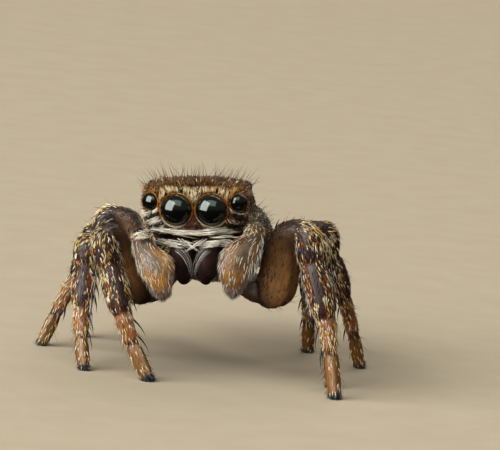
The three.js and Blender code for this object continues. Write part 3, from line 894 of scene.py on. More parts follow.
class Graph:
    """Adds nodes to a tree and joins them. A plain value goes on the socket itself."""

    def __init__(self, tree):
        self.tree = tree

    def add(self, kind, feeds=None, **settings):
        node = self.tree.nodes.new(kind)
        for key, value in settings.items():
            setattr(node, key, value)
        for key, value in (feeds or {}).items():
            if isinstance(value, bpy.types.NodeSocket):
                self.tree.links.new(value, node.inputs[key])
            else:
                node.inputs[key].default_value = value
        return node

    def link(self, value, shader, socket):
        self.tree.links.new(value, shader.inputs[socket])

    def math(self, operation, first, second=0.0):
        return self.add("ShaderNodeMath", {0: first, 1: second}, operation=operation).outputs[0]

    def vector(self, operation, first, second, key=1):
        node = self.add("ShaderNodeVectorMath", {0: first, key: second}, operation=operation)
        return node.outputs[0]

    def mix(self, share, first, second):
        """Blends two colours."""
        node = self.add("ShaderNodeMix", {0: share, 6: first, 7: second}, data_type="RGBA")
        return node.outputs[2]

    def noise(self, vector, scale, detail=2.0, roughness=0.5):
        feeds = {"Vector": vector, "Scale": scale, "Detail": detail, "Roughness": roughness}
        return self.add("ShaderNodeTexNoise", feeds).outputs["Fac"]

    def between(self, value, low, high, start=0.0, end=1.0):
        """Carries start..end over to low..high."""
        node = self.add("ShaderNodeMapRange", {0: value, 1: start, 2: end, 3: low, 4: high})
        return node.outputs[0]

    def bump(self, shader, height, strength, distance):
        feeds = {"Strength": strength, "Distance": distance, "Height": height}
        self.link(self.add("ShaderNodeBump", feeds).outputs[0], shader, "Normal")

    def attribute(self, name, output):
        return self.add("ShaderNodeAttribute", attribute_name=name).outputs[output]


def new_material(name, **sockets):
    """A material with a principled shader whose fixed sockets are set by name."""
    material = bpy.data.materials.new(name)
    material.use_nodes = True
    graph = Graph(material.node_tree)
    shader = material.node_tree.nodes["Principled BSDF"]
    for key, value in sockets.items():
        shader.inputs[key.replace("_", " ").title().replace("Ior", "IOR")].default_value = value
    return material, graph, shader


def with_alpha(colour):
    return (*colour, 1.0)


def skin_finish():
    """Cuticle under short flat fur: streaks follow the limb, bare parts shine."""
    material, graph, shader = new_material(
        "spider_cuticle", subsurface_weight=0.12, subsurface_scale=0.0002, specular_ior_level=0.38,
    )
    shader.inputs["Subsurface Radius"].default_value = (1.0, 0.45, 0.2)
    grain = graph.attribute("grain", "Vector")
    fur, gloss = graph.attribute("fur", "Fac"), graph.attribute("gloss", "Fac")
    tint = graph.attribute("tint", "Color")
    place = graph.add("ShaderNodeTexCoord").outputs["Object"]
    along = graph.vector("MULTIPLY", grain, (1.0, 1.0, 0.16))
    streak = graph.noise(along, 26.0, 3.0, 0.6)
    pore = graph.noise(place, 42000.0, 3.0, 0.6)
    cloud = graph.noise(place, 6000.0, 2.0, 0.5)
    dark = graph.vector("SCALE", tint, 0.45, "Scale")
    light = graph.vector("SCALE", tint, 1.7, "Scale")
    base = graph.mix(graph.between(streak, 0.0, 1.0, 0.3, 0.7), dark, light)
    base = graph.mix(graph.math("MULTIPLY", gloss, 0.6), base, tint)
    graph.link(graph.mix(graph.between(cloud, 0.0, 0.5), base, dark), shader, "Base Color")
    worn = graph.math("MULTIPLY", graph.between(gloss, 0.6, 0.2), graph.between(pore, 0.75, 1.3))
    graph.link(worn, shader, "Roughness")
    streaks, pores = graph.math("MULTIPLY", streak, fur), graph.math("MULTIPLY", pore, 0.25)
    graph.bump(shader, graph.math("ADD", streaks, pores), 0.8, 0.00003)
    return material


def coat_finish(name, roughness, root_shade=0.5, tip_shade=1.15):
    """Hair and scales: each has its own hue, darker at the root and lighter at the tip, which is
    painted shade among the roots.
    """
    material, graph, shader = new_material(name, specular_ior_level=0.35)
    hue, along = graph.attribute("hue", "Color"), graph.attribute("along", "Fac")
    place = graph.add("ShaderNodeTexCoord").outputs["Object"]
    # Painted shade: each hair is darkened towards its root, where its neighbours shade it, and
    # lightened towards its tip.
    shade = graph.math("MULTIPLY", graph.between(along, root_shade, tip_shade),
                       graph.between(graph.noise(place, 30000.0), 0.75, 1.25))
    graph.link(graph.vector("SCALE", hue, shade, "Scale"), shader, "Base Color")
    uneven = graph.between(graph.noise(place, 60000.0), roughness - 0.1, roughness + 0.1)
    graph.link(uneven, shader, "Roughness")
    return material


def lens_finish():
    """Deep black glassy eye with a faint green and brown depth under the clear front."""
    material, graph, shader = new_material(
        "eye_glass", ior=1.7, specular_ior_level=0.5, specular_tint=(0.88, 1.0, 0.92, 1.0),
    )
    place = graph.add("ShaderNodeTexCoord").outputs["Object"]
    depth = graph.noise(place, 4000.0, 1.0)
    deep, faint = with_alpha(paint("010202")), with_alpha(paint("0b0a08"))
    graph.link(graph.mix(depth, deep, faint), shader, "Base Color")
    graph.link(graph.between(graph.noise(place, 20000.0), 0.07, 0.13), shader, "Roughness")
    return material


def shell_finish(name, dark, light, roughness):
    """Hard glossy cuticle: jaws, claws and spines."""
    material, graph, shader = new_material(name, specular_ior_level=0.5)
    place = graph.add("ShaderNodeTexCoord").outputs["Object"]
    cloud = graph.noise(place, 5000.0, 3.0)
    spread = graph.between(cloud, 0.0, 1.0, 0.35, 0.7)
    graph.link(graph.mix(spread, with_alpha(dark), with_alpha(light)), shader, "Base Color")
    fine = graph.noise(place, 45000.0, 3.0, 0.6)
    graph.link(graph.between(fine, roughness - 0.1, roughness + 0.12), shader, "Roughness")
    graph.bump(shader, fine, 0.5, 0.00001)
    return material


SKIN_FINISH = skin_finish()
SCALE_FINISH = coat_finish("scales_and_hair", 0.42)
BRISTLE_FINISH = coat_finish("bristles", 0.35, 0.8, 1.0)
LENS_FINISH = lens_finish()
JAW_FINISH = shell_finish("jaw_shell", paint("120909"), paint("2e140f"), 0.36)
CLAW_FINISH = shell_finish("claw_shell", paint("0b0909"), paint("261712"), 0.3)

# ---------------------------------------------------------------- the coat

def coat_tree():
    """Grows one tapered, bent hair or scale on every root point."""
    tree = bpy.data.node_groups.new("coat", "GeometryNodeTree")
    sockets = tree.interface
    sockets.new_socket("Roots", in_out="INPUT", socket_type="NodeSocketGeometry")
    inputs = (("Sides", "Int", 3), ("Joints", "Int", 3), ("Fullness", "Float", 2.0),
              ("Flatness", "Float", 0.5), ("Unevenness", "Float", 0.2), ("Seed", "Int", 1),
              ("Patch", "Float", PATCH), ("Finish", "Material", None))
    for name, kind, value in inputs:
        socket = sockets.new_socket(name, in_out="INPUT", socket_type="NodeSocket" + kind)
        if value is not None:
            socket.default_value = value
    sockets.new_socket("Coat", in_out="OUTPUT", socket_type="NodeSocketGeometry")
    graph = Graph(tree)
    entry = graph.add("NodeGroupInput").outputs

    def named(name, kind):
        node = graph.add("GeometryNodeInputNamedAttribute", {"Name": name}, data_type=kind)
        return node.outputs[0]

    def kept(geometry, name, kind, value, domain="POINT"):
        feeds = {"Geometry": geometry, "Name": name}
        node = graph.add("GeometryNodeStoreNamedAttribute", feeds, data_type=kind, domain=domain)
        graph.link(value, node, "Value")
        return node.outputs[0]

    cone = graph.add("GeometryNodeMeshCone", {
        "Vertices": entry["Sides"], "Side Segments": entry["Joints"],
        "Radius Top": 0.0, "Radius Bottom": 1.0, "Depth": 1.0,
    }, fill_type="NGON")
    position = graph.add("GeometryNodeInputPosition").outputs[0]
    apart = graph.add("ShaderNodeSeparateXYZ", {0: position}).outputs
    marked = kept(cone.outputs[0], "along", "FLOAT", apart["Z"])
    marked = kept(marked, "breadth", "FLOAT", apart["X"])
    middle = graph.math("MULTIPLY", apart["Z"], graph.math("SUBTRACT", 1.0, apart["Z"]))
    swell = graph.math("ADD", 1.0, graph.math("MULTIPLY", middle, entry["Fullness"]))
    widened = graph.add("ShaderNodeCombineXYZ", {0: swell, 1: swell, 2: 1.0}).outputs[0]
    shape = graph.add("GeometryNodeSetPosition", {
        "Geometry": marked, "Position": graph.vector("MULTIPLY", position, widened),
    }).outputs[0]

    aim = graph.add("FunctionNodeAxesToRotation", {
        "Primary Axis": named("heading", "FLOAT_VECTOR"),
        "Secondary Axis": named("facing", "FLOAT_VECTOR"),
    }, primary_axis="Z", secondary_axis="Y").outputs[0]
    chance = graph.add("FunctionNodeRandomValue", {"Seed": entry["Seed"]}, data_type="FLOAT")
    graph.link(graph.math("SUBTRACT", 1.0, entry["Unevenness"]), chance, 2)
    graph.link(graph.math("ADD", 1.0, entry["Unevenness"]), chance, 3)
    width = graph.math("MULTIPLY", named("width", "FLOAT"), chance.outputs[1])
    size = graph.add("ShaderNodeCombineXYZ", {
        0: width, 1: graph.math("MULTIPLY", width, entry["Flatness"]), 2: named("length", "FLOAT"),
    }).outputs[0]
    placed = graph.add("GeometryNodeInstanceOnPoints", {
        "Points": entry["Roots"], "Instance": shape, "Rotation": aim, "Scale": size,
    }).outputs[0]
    real = graph.add("GeometryNodeRealizeInstances", {0: placed}).outputs[0]
    along = named("along", "FLOAT")
    late = graph.math("POWER", along, 2.0)
    bend = graph.vector("SCALE", named("bend", "FLOAT_VECTOR"), late, "Scale")
    bent = graph.add("GeometryNodeSetPosition", {"Geometry": real, "Offset": bend}).outputs[0]
    patch = graph.add("ShaderNodeCombineXYZ", {0: named("breadth", "FLOAT"), 1: along}).outputs[0]
    patch = graph.vector("SCALE", patch, entry["Patch"], "Scale")
    unwrap = graph.vector("ADD", named("unwrap", "FLOAT_VECTOR"), patch)
    mapped = kept(bent, "OFBake", "FLOAT2", unwrap, "CORNER")
    smooth = graph.add("GeometryNodeSetShadeSmooth", {"Geometry": mapped}).outputs[0]
    feeds = {"Geometry": smooth, "Material": entry["Finish"]}
    dressed = graph.add("GeometryNodeSetMaterial", feeds).outputs[0]
    graph.link(dressed, graph.add("NodeGroupOutput"), 0)
    return tree


COAT_TREE = coat_tree()
SOCKET = {item.name: item.identifier for item in COAT_TREE.interface.items_tree}
# Hairs keep this far above the floor.
FLOOR_CLEARANCE = 0.012
# Where the columns of a hair's row part: point, heading, facing, bend, hue, length, width.
ROW_SPLITS = (3, 6, 9, 12, 15, 16)


def spread_over(count, *values):
    """Each value as one number for every hair."""
    return [np.broadcast_to(value, count).astype(float) for value in values]


class Coat:
    """The roots of one piece of coat, and what grows on each."""

    def __init__(self, name):
        self.name = name
        self.rows = []

    def add(self, point, normal, way, length, width, rise, hue, curl=0.15, sway=0.0):
        """Hairs that lie along way and rise from the skin by an angle in degrees.

        curl bends the tip towards the skin and sway sideways, as shares of the length."""
        count = len(point)
        if not count:
            return
        length, width, rise, curl, sway = spread_over(count, length, width, rise, curl, sway)
        lie = unit(way - normal * (way * normal).sum(1, keepdims=True))
        angle = np.radians(rise)[:, None]
        heading = lie * np.cos(angle) + normal * np.sin(angle)
        sideways = unit(np.cross(lie, normal))
        bend = (-normal * curl[:, None] + sideways * sway[:, None]) * length[:, None]
        tip = point[:, 2] + heading[:, 2] * length + bend[:, 2]
        bend[:, 2] += np.maximum(FLOOR_CLEARANCE - tip, 0)
        hue = np.broadcast_to(hue, (count, 3))
        self.rows.append(np.column_stack([point, heading, normal, bend, hue, length, width]))

    def grow(self, seed, finish=SCALE_FINISH, sides=3, joints=3, fullness=2.0, flatness=0.5):
        """Turns the roots into one mesh of solid hairs."""
        rows = np.concatenate(self.rows)
        point, heading, facing, bend, hue, length, width = np.split(rows, ROW_SPLITS, axis=1)
        mesh = bpy.data.meshes.new(self.name)
        mesh.vertices.add(len(rows))
        mesh.vertices.foreach_set("co", to_frame(point).ravel())
        store(mesh, "heading", "FLOAT_VECTOR", heading)
        store(mesh, "facing", "FLOAT_VECTOR", facing)
        store(mesh, "bend", "FLOAT_VECTOR", bend * MM)
        store(mesh, "hue", "FLOAT_COLOR", hue)
        store(mesh, "length", "FLOAT", length * MM)
        store(mesh, "width", "FLOAT", width * MM)
        unwrap = np.column_stack([NEAR.unwrap_at(point), np.zeros(len(rows))])
        store(mesh, "unwrap", "FLOAT_VECTOR", unwrap)
        holder = shown(self.name + "_roots", mesh)
        modifier = holder.modifiers.new("coat", "NODES")
        modifier.node_group = COAT_TREE
        values = {"Sides": sides, "Joints": joints, "Fullness": fullness, "Flatness": flatness,
                  "Seed": seed, "Finish": finish}
        for name, value in values.items():
            modifier[SOCKET[name]] = value
        grown = baked(holder)
        for name in ("heading", "facing", "bend", "length", "width", "unwrap", "breadth"):
            if name in grown.attributes:
                grown.attributes.remove(grown.attributes[name])
        points = corners(grown)
        points[:, 2] = np.maximum(points[:, 2], 0)
        grown.vertices.foreach_set("co", points.ravel())
        grown.update()
        piece = shown(self.name, grown)
        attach(piece, "root")
        return piece


# ---------------------------------------------------------------- skin, jaws and eyes

SKIN_MESH, SKIN_TREE = skin_mesh()
SKIN = shown("spider_skin", SKIN_MESH, SKIN_FINISH)


def jaw(side):
    steps, sides = JAW_GRID
    z, x, y, wide, deep = (column[:, None] for column in through(CHELICERA, steps).T)
    angle = angles(sides)[None, :]
    rings = np.stack([x * side + wide * np.cos(angle), y + deep * np.sin(angle),
                      np.broadcast_to(z, JAW_GRID)], -1)
    return plain_limb("jaw", rings, side)


def fang(side):
    steps, sides = FANG_GRID
    table = through([mirrored(row, side) for row in FANG], steps)
    points, radius = table[:, :3], table[:, 3:]
    ways = unit(np.gradient(points, axis=0))
    flat = unit(np.cross(ways, [0, 1, 0]))
    level = np.cross(flat, ways)
    angle = angles(sides)[None, :, None]
    spread = flat[:, None] * np.cos(angle) + level[:, None] * np.sin(angle)
    return plain_limb("fang", points[:, None] + radius[:, None] * spread, side, 1.0)


JAWS = {side: jaw(side) for side in (1, -1)}


def jaw_piece(side):
    """One jaw with its fang."""
    name = "jaw_" + side_name(side)
    mesh = joined(name, [JAWS[side].grid, fang(side).grid])
    mesh.vertices.foreach_set("co", to_frame(corners(mesh)).ravel())
    mesh.shade_smooth()
    piece = shown(name, mesh, JAW_FINISH)
    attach(piece, "root")
    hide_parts("chelicera_" + side_name(side))


def lens_piece(eye, side):
    """A flattened ball of glass, turned outwards."""
    name, x, y, z, radius, thickness, turn = eye
    mesh = bpy.data.meshes.new("lens")
    ball = bmesh.new()
    bmesh.ops.create_uvsphere(ball, u_segments=LENS_GRID[1], v_segments=LENS_GRID[0], radius=1)
    ball.to_mesh(mesh)
    ball.free()
    points = corners(mesh)[:, [0, 2, 1]] * [radius, thickness, radius]
    points = points @ turned("Z", turn * side).T + [x * side, y, z]
    mesh.vertices.foreach_set("co", to_frame(from_body(points)).ravel())
    mesh.flip_normals()
    mesh.shade_smooth()
    piece = shown(f"lens_{side_name(side)}_{name}", mesh, LENS_FINISH)
    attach(piece, "root")
    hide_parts(f"eye_{side_name(side)}_{name}")


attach(SKIN, "root")
FLESH = ["cephalothorax", "pedicel", "abdomen", "spinnerets"]
for way in (1, -1):
    FLESH += [f"palp_{side_name(way)}_{part}" for part in ("arm", "blade")]
    for number in range(1, 5):
        leg_name = f"leg_{side_name(way)}_{number}"
        FLESH += [f"{leg_name}_{part}" for part in ("coxa", "femur", "tibia", "foot")]
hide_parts(*FLESH)
for way in (1, -1):
    jaw_piece(way)
    for one in EYES:
        lens_piece(one, way)

# ---------------------------------------------------------------- where hairs root

# A root further than this from the skin is inside the body, and is left out.
ROOT_REACH = 0.16
# How many roots are strewn for each kind of hair, before those out of place are dropped.
ROOTS = {
    "carapace": 11000, "abdomen": 11500, "sternum": 1500, "spinneret": 160, "pedicel": 160,
    "back bristles": 620, "abdomen bristles": 420,
    "leg bristles": 240, "shin fringe": 1100, "claw tuft": 5200,
    "palp down": 2100, "palp streaks": 800, "palp_arm down": 600, "palp_arm streaks": 260,
    "knob tuft": 2000, "tip feather": 3200, "palp fringe": 420,
    "brow": 5200, "cheeks": 2600, "face": 5600, "jaws": 420, "rim of large eye": 620,
    "rim of small eye": 420,
}
# The same for the scales of each pair of legs.
LEG_SCALES = (4500, 4000, 3400, 3400)


def nearest_skin(points):
    """The skin's nearest points, its normals there and how far off they are."""
    found = [SKIN_TREE.find_nearest(Vector(point)) for point in points]
    return (np.array([hit[0] for hit in found]), np.array([hit[1] for hit in found]),
            np.array([hit[3] for hit in found]))


def rooted(limb, count, chance, keep=None):
    """Scattered roots of a limb, set on the skin, with the facts of each."""
    sample = limb.scatter(count, chance)
    sample["point"], sample["normal"], apart = nearest_skin(sample["point"])
    kept = apart < ROOT_REACH
    if keep is not None:
        kept &= keep(sample)
    return subset(sample, kept)


def subset(sample, kept):
    return {name: values[kept] for name, values in sample.items()}


def uneven(chance, count, amount):
    """Random factors round 1."""
    return (1 + amount * chance.standard_normal(count)).clip(0.5, 1.6)


def chosen(chance, weights, hues, jitter=0.15):
    """Picks a hue for each row by its weights, and makes each a little lighter or darker."""
    weights = np.column_stack(np.broadcast_arrays(*weights)).astype(float)
    total = np.cumsum(weights, axis=1)
    pick = (chance.random(len(weights))[:, None] * total[:, -1:] > total).sum(1)
    return np.array(hues)[pick] * uneven(chance, len(weights), jitter)[:, None], pick


def picked(chance, count, shares, hues):
    """As chosen, with the same weights for every row, and the hues alone."""
    return chosen(chance, [np.full(count, share) for share in shares], hues)[0]


def aimed(x, y, z):
    """Directions from three parts, of which some may be plain numbers."""
    return np.column_stack(np.broadcast_arrays(x, y, z))


def strewn(chance, vectors, amount):
    """Directions, each turned a little at random."""
    return unit(vectors + chance.standard_normal(np.shape(vectors)) * amount)


def seeded(first, limb):
    """A random source of the limb's own."""
    return np.random.default_rng(first + 2 * limb.pair + (limb.side > 0))


def lay_along(coat, chance, roots, strew, length, width, rise, hue, curl):
    """Hairs that follow their limb; length and rise are bounds, hue may be made from the count."""
    count = len(roots["place"])
    way = strewn(chance, roots["along"], strew)
    length = chance.uniform(*length, count)
    rise = chance.uniform(*rise, count)
    hue = hue(count) if callable(hue) else hue
    coat.add(roots["point"], roots["normal"], way, length, width, rise, hue, curl)


# ---------------------------------------------------------------- coat of the legs

def leg_density(sample):
    """How thickly the scales of a leg stand."""
    segment, place, angle = sample["segment"], sample["place"], sample["angle"]
    under = ramp(70, 120, turn_apart(angle, DORSAL))
    stripe = ramp(22, 10, bare_face(angle))
    options = [0.3, 1 - 0.9 * under, 1 - 0.6 * stripe, 1 - 0.86 * stripe, 0.75,
               0.16 + 0.84 * ramp(0.8, 0.9, place)]
    return np.select([segment == part for part in PARTS], options)


# The scales' colours; the first two of every such row are the pale ones, which are broader.
LEG_HUES = (CREAM, GOLD, paint("b5601f"), UMBER * 0.8, MAUVE, SLATE, BROWN * 0.8)
PALE_HUES = 2
SLATE_HUE = 5


def leg_hues(sample, chance):
    """Which of the leg's scale colours grows where."""
    segment, place, angle = sample["segment"], sample["place"], sample["angle"]
    dorsal = ramp(75, 35, turn_apart(angle, DORSAL))
    tuft = ramp(0.5, 0.62, mottle(sample["point"], 0.16, 4))
    burnt = ramp(0.5, 0.64, mottle(sample["point"], 0.2, 14))
    edge = hump(bare_face(angle), 38, 18)
    upper = np.isin(segment, (PATELLA, TIBIA))
    knee = (segment == PATELLA) * ramp(0.5, 0.1, place) * dorsal
    knee = knee + 0.8 * (segment == PATELLA) * tuft
    tip = (segment == TARSUS) * ramp(0.82, 0.88, place)
    low = segment == METATARSUS
    foot = segment == TARSUS
    femur = segment <= FEMUR
    clear = 1 - tip
    cream = (upper * (0.1 + 2.4 * edge * tuft) + knee * 1.5 * (0.3 + tuft)
             + low * (0.4 + 0.9 * tuft) + foot * 0.5)
    gold = upper * (0.12 + 0.8 * edge * tuft) + knee * 1.1 + low * 0.3 + foot * 0.3
    rust = (upper * (0.12 + 1.1 * burnt * edge + 0.5 * ramp(0.7, 0.95, place)) + low * 0.5
            + femur * 0.08)
    umber = upper * 0.6 + low * 0.15 + femur * 0.3
    mauve = upper * 0.2 + femur * 0.05 + low * 0.1
    weights = [share * clear for share in (cream, gold, rust, umber, mauve)]
    return chosen(chance, [*weights, tip, femur * 0.8], LEG_HUES, 0.22)


def leg_coat(limb):
    """Flat scales that lie towards the foot, the pale ones longer and broader."""
    chance = seeded(20, limb)
    sample = rooted(limb, LEG_SCALES[limb.pair], chance,
                    lambda s: chance.random(len(s["angle"])) < leg_density(s))
    hue, kind = leg_hues(sample, chance)
    pale, slate = kind < PALE_HUES, kind == SLATE_HUE
    count = len(hue)
    length = np.where(pale, 0.13, 0.105) * uneven(chance, count, 0.25)
    length = np.where(slate, 0.13, length)
    width = np.where(pale, 0.016, 0.0095)
    rise = np.where(pale, 16, 10) + 6 * chance.standard_normal(count)
    rise = np.where(slate, 24, rise)
    way = strewn(chance, sample["along"], 0.16)
    coat = Coat(f"coat_leg_{side_name(limb.side)}_{limb.pair + 1}")
    coat.add(sample["point"], sample["normal"], way, length, width, rise, hue)
    coat.grow(fullness=2.6, flatness=0.45, seed=limb.pair + 1)


def leg_bristles(coat, limb):
    """Long thin dark setae, a pale fringe on the shin's inner edge and feathery claw tufts."""
    chance = seeded(40, limb)
    sample = rooted(limb, ROOTS["leg bristles"], chance,
                    lambda s: (s["segment"] > COXA) & (s["place"] < 0.9))
    count = len(sample["place"])
    length = 0.28 * chance.uniform(0.6, 1.3, count)
    way = strewn(chance, sample["along"], 0.2)
    rise = chance.uniform(28, 58, count)
    hue = blend(BLACK, UMBER, chance.random(count))
    coat.add(sample["point"], sample["normal"], way, length, 0.0048, rise, hue, 0.2)

    inner = rooted(limb, ROOTS["shin fringe"], chance,
                   lambda s: np.isin(s["segment"], (PATELLA, TIBIA))
                   & (turn_apart(s["angle"], 138) < 26))
    hue = picked(chance, len(inner["place"]), (0.7, 0.3), (WHITE, PALE_GREY))
    lay_along(coat, chance, inner, 0.12, (0.16, 0.34), 0.0075, (14, 36), hue, 0.25)

    feather = rooted(limb, ROOTS["claw tuft"], chance,
                     lambda s: (s["segment"] == TARSUS) & (s["place"] > 0.82)
                     & (chance.random(len(s["place"])) < 0.8))
    lay_along(coat, chance, feather, 0.3, (0.08, 0.17), 0.008, (25, 75),
              lambda count: blend(SLATE * 0.6, PALE_GREY, chance.random(count) ** 3 * 0.8), 0.2)


# Spines: segment, place along it, degrees round it, length
SPINES = [
    (FEMUR, 0.55, 0, 0.26), (FEMUR, 0.75, 0, 0.26), (PATELLA, 0.6, 110, 0.22),
    (TIBIA, 0.35, 135, 0.4), (TIBIA, 0.35, 225, 0.4), (TIBIA, 0.62, 135, 0.44),
    (TIBIA, 0.62, 225, 0.44), (TIBIA, 0.92, 135, 0.42), (TIBIA, 0.92, 225, 0.4),
    (METATARSUS, 0.25, 130, 0.52), (METATARSUS, 0.25, 225, 0.5), (METATARSUS, 0.85, 130, 0.5),
    (METATARSUS, 0.85, 225, 0.44),
]
# The spines of the front two pairs and of the rear two are scaled by these.
SPINE_SCALE = (1.0, 1.0, 0.8, 0.8)
# Rings of the grid back from a leg's end: at the sole, and a little above it.
SOLE_RING = -6
ABOVE_SOLE_RING = -12
# Where a claw roots: back from the sole, to the side, above it and no lower than this.
CLAW_BACK = 0.05
CLAW_ASIDE = 0.05
CLAW_RAISE = 0.06
CLAW_LOWEST = 0.08


def leg_spines(coat, limb):
    """Stout dark spines at their own places on each segment."""
    size = SPINE_SCALE[limb.pair]
    for part, place, angle, length in SPINES:
        ring = np.argmin(np.where(limb.segment == part, np.abs(limb.place - place), np.inf))
        column = round(angle / 360 * len(limb.angle)) % len(limb.angle)
        point, normal, _ = nearest_skin([limb.grid[ring, column]])
        way = unit(limb.grid[ring + 1].mean(0) - limb.grid[ring - 1].mean(0))
        coat.add(point, normal, way[None], length * size * 1.2, 0.028 * size, 30, BLACK, 0.25)


def leg_claws(coat, limb):
    """Two small hooked claws in the tuft at the leg's end."""
    sole = limb.grid[SOLE_RING].mean(0)
    way = unit(sole - limb.grid[ABOVE_SOLE_RING].mean(0))
    across = unit(np.cross(way, UPRIGHT))
    outward = unit(np.cross(across, way))
    outward = outward * np.sign(outward[2])
    for side in (1, -1):
        root = sole - way * CLAW_BACK + across * side * CLAW_ASIDE + outward * CLAW_RAISE
        root[2] = max(root[2], CLAW_LOWEST)
        coat.add(root[None], outward[None], way[None], 0.15, 0.016, 30, BLACK, 0.7)


# ---------------------------------------------------------------- coat of the body

def carapace_coat(limb):
    """Brown fur over the head and thorax, with the pale stripe and flanks."""
    chance = np.random.default_rng(3)
    sample = rooted(limb, ROOTS["carapace"], chance)
    x, y, z = to_body(sample["point"]).T
    face = (y < 0.12) & (z < 0.5)
    mouth = (y < 0.9) & (z < -0.4) & (np.abs(x) < 1.16)
    kept = ~face & ~mouth & (z > -0.98)
    sample = subset(sample, kept)
    x, y, z = x[kept], y[kept], z[kept]
    count = len(x)
    top = ramp(0.2, 0.42, z)
    crown = top * ramp(1.9, 1.5, y)
    flank = hump(z, -0.42, 0.19) * ramp(2.9, 2.4, y) * ramp(0.25, 0.6, y)
    stripe = hump(x, 0, 0.2) * ramp(1.6, 2.0, y)
    tuft = ramp(0.4, 0.65, mottle(sample["point"], 0.16, 7))
    temple = hump(z, 0.35, 0.16) * (np.abs(x) > 1.0) * ramp(1.6, 0.8, y)
    pale = np.clip(flank + stripe, 0, 1)
    weights = (pale * 1.2 + 0.05, pale * 0.3 + 0.14 * tuft, 0.05 * tuft + 0.2 * temple,
               0.1 * (1 - pale), 0.6 * (1 - 0.8 * pale), 0.6 * (1 - pale))
    hue, kind = chosen(chance, weights, (CREAM, GOLD, ORANGE * 0.8, RUST, UMBER, paint("735429")))
    ahead = aimed(x * 0.12, -0.2 + 0.9 * ramp(0.3, 1.2, y), 0.1)
    back = aimed(x * 0.1, 1.0, -0.35)
    way = ahead * crown[:, None] + back * (1 - crown[:, None])
    way = strewn(chance, unit(way) @ BODY_TURN.T, 0.22)
    rise = 14 + 34 * crown * ramp(1.3, 0.3, y) + 8 * crown + 6 * chance.standard_normal(count)
    length = 0.13 + 0.05 * crown + 0.025 * chance.standard_normal(count)
    width = np.where(kind < PALE_HUES, 0.014, 0.011)
    coat = Coat("coat_carapace")
    coat.add(sample["point"], sample["normal"], way, length, width, rise, hue)
    coat.grow(fullness=1.8, flatness=0.5, seed=11)


def abdomen_coat(limb):
    """Fur in the abdomen's pattern, lying backwards."""
    chance = np.random.default_rng(4)
    sample = rooted(limb, ROOTS["abdomen"], chance)
    x, _, z = to_body(sample["point"]).T
    count = len(x)
    pale = abdomen_pattern(sample["point"])
    under = ramp(-1.6, -2.0, z)
    rusty = ramp(0.45, 0.6, mottle(sample["point"], 0.22, 8))
    weights = (pale * 1.1 + 0.05, pale * 0.35 + 0.1, 0.22 * rusty,
               0.8 * (1 - pale) * (1 - 0.6 * under), 0.35 * (1 - pale), 0.9 * under)
    hue, kind = chosen(chance, weights, (CREAM, GOLD, RUST, UMBER, BROWN, PALE_GREY * 0.6))
    way = aimed(x * 0.12, 1.0, -0.45 * ramp(-0.7, -1.5, z))
    way = strewn(chance, unit(way) @ BODY_TURN.T, 0.16)
    rise = 15 + 5 * chance.standard_normal(count)
    length = 0.15 + 0.03 * chance.standard_normal(count)
    width = np.where(kind < PALE_HUES, 0.016, 0.013)
    coat = Coat("coat_abdomen")
    coat.add(sample["point"], sample["normal"], way, length, width, rise, hue)
    coat.grow(fullness=2.0, flatness=0.45, seed=12)


def under_coat(limbs):
    """Short fur under the body, on the spinnerets and on the waist."""
    chance = np.random.default_rng(5)
    coat = Coat("coat_underside")
    for limb in limbs:
        sample = rooted(limb, ROOTS[limb.kind], chance)
        count = len(sample["place"])
        hue = picked(chance, count, (0.3, 0.5, 0.2), (BROWN, UMBER, PALE_GREY * 0.7))
        coat.add(sample["point"], sample["normal"], strewn(chance, sample["along"], 0.2),
                 chance.uniform(0.08, 0.14, count), 0.011, 16, hue)
    coat.grow(seed=13)


def body_bristles(coat, limb, count, length, seed, test):
    """Long dark setae that stand among the fur of the back."""
    chance = np.random.default_rng(seed)
    sample = rooted(limb, count, chance, lambda s: test(*to_body(s["point"]).T))
    x, y, _ = to_body(sample["point"]).T
    number = len(x)
    lean = aimed(x * 0.5, -0.35 + 0.5 * y, 0.5)
    way = strewn(chance, unit(lean) @ BODY_TURN.T, 0.3)
    length = length * chance.uniform(0.6, 1.25, number)
    rise = chance.uniform(50, 82, number)
    hue = blend(BLACK, UMBER, chance.random(number) * 0.6)
    coat.add(sample["point"], sample["normal"], way, length, 0.0058, rise, hue, 0.12)


def palp_coat(coat, limb):
    """Fine down in the palp's own colours, under silvery streaks that point down the blade."""
    chance = seeded(50, limb)
    blade = limb.kind == "palp"
    down = rooted(limb, ROOTS[limb.kind + " down"], chance)
    own = palp_tint(down["place"], down["angle"], limb.side, limb.kind)
    own = own * chance.uniform(0.5, 1.45, len(own))[:, None]
    lay_along(coat, chance, down, 0.12, (0.05, 0.08), 0.007, (3, 9), own, 0.15)

    sample = rooted(limb, ROOTS[limb.kind + " streaks"], chance)
    place, angle = sample["place"], sample["angle"]
    count = len(place)
    outer = ramp(0.5, 0.95, np.sin(angle) * limb.side)
    inner = ramp(0.5, 0.95, -np.sin(angle) * limb.side)
    edge = np.maximum(outer, inner * (0.6 if limb.side > 0 else 0.2))
    top = ramp(0.24, 0.12, place) if blade else np.ones(count)
    share = (0.3 + 0.4 * edge + 0.4 * top) * ramp(1.05, 0.8, place + 0.25 * edge)
    kept = chance.random(count) < share
    pale = 1 if blade else 0.1
    weights = (pale * (0.9 + 0.4 * outer - 0.8 * top), pale * (0.15 + 0.1 * top), 0.12 * inner, 0.1,
               0.5 * top * pale, 1.1 * top)
    hues = (WHITE * 0.85, CREAM, HONEY, PALE_GREY * 0.7, RUST, paint("6b4a30"))
    hue, kind = chosen(chance, weights, hues)
    length = (0.19 + 0.04 * edge - 0.07 * top) * uneven(chance, count, 0.3)
    rise = 8 + 15 * edge + 4 * chance.standard_normal(count)
    way = strewn(chance, sample["along"], 0.14)
    width = np.where(kind < PALE_HUES, 0.0115, 0.0085)
    streaks = (sample["point"], sample["normal"], way, length, width, rise, hue)
    coat.add(*(values[kept] for values in streaks))
    if blade:
        palp_fringes(coat, limb, chance)


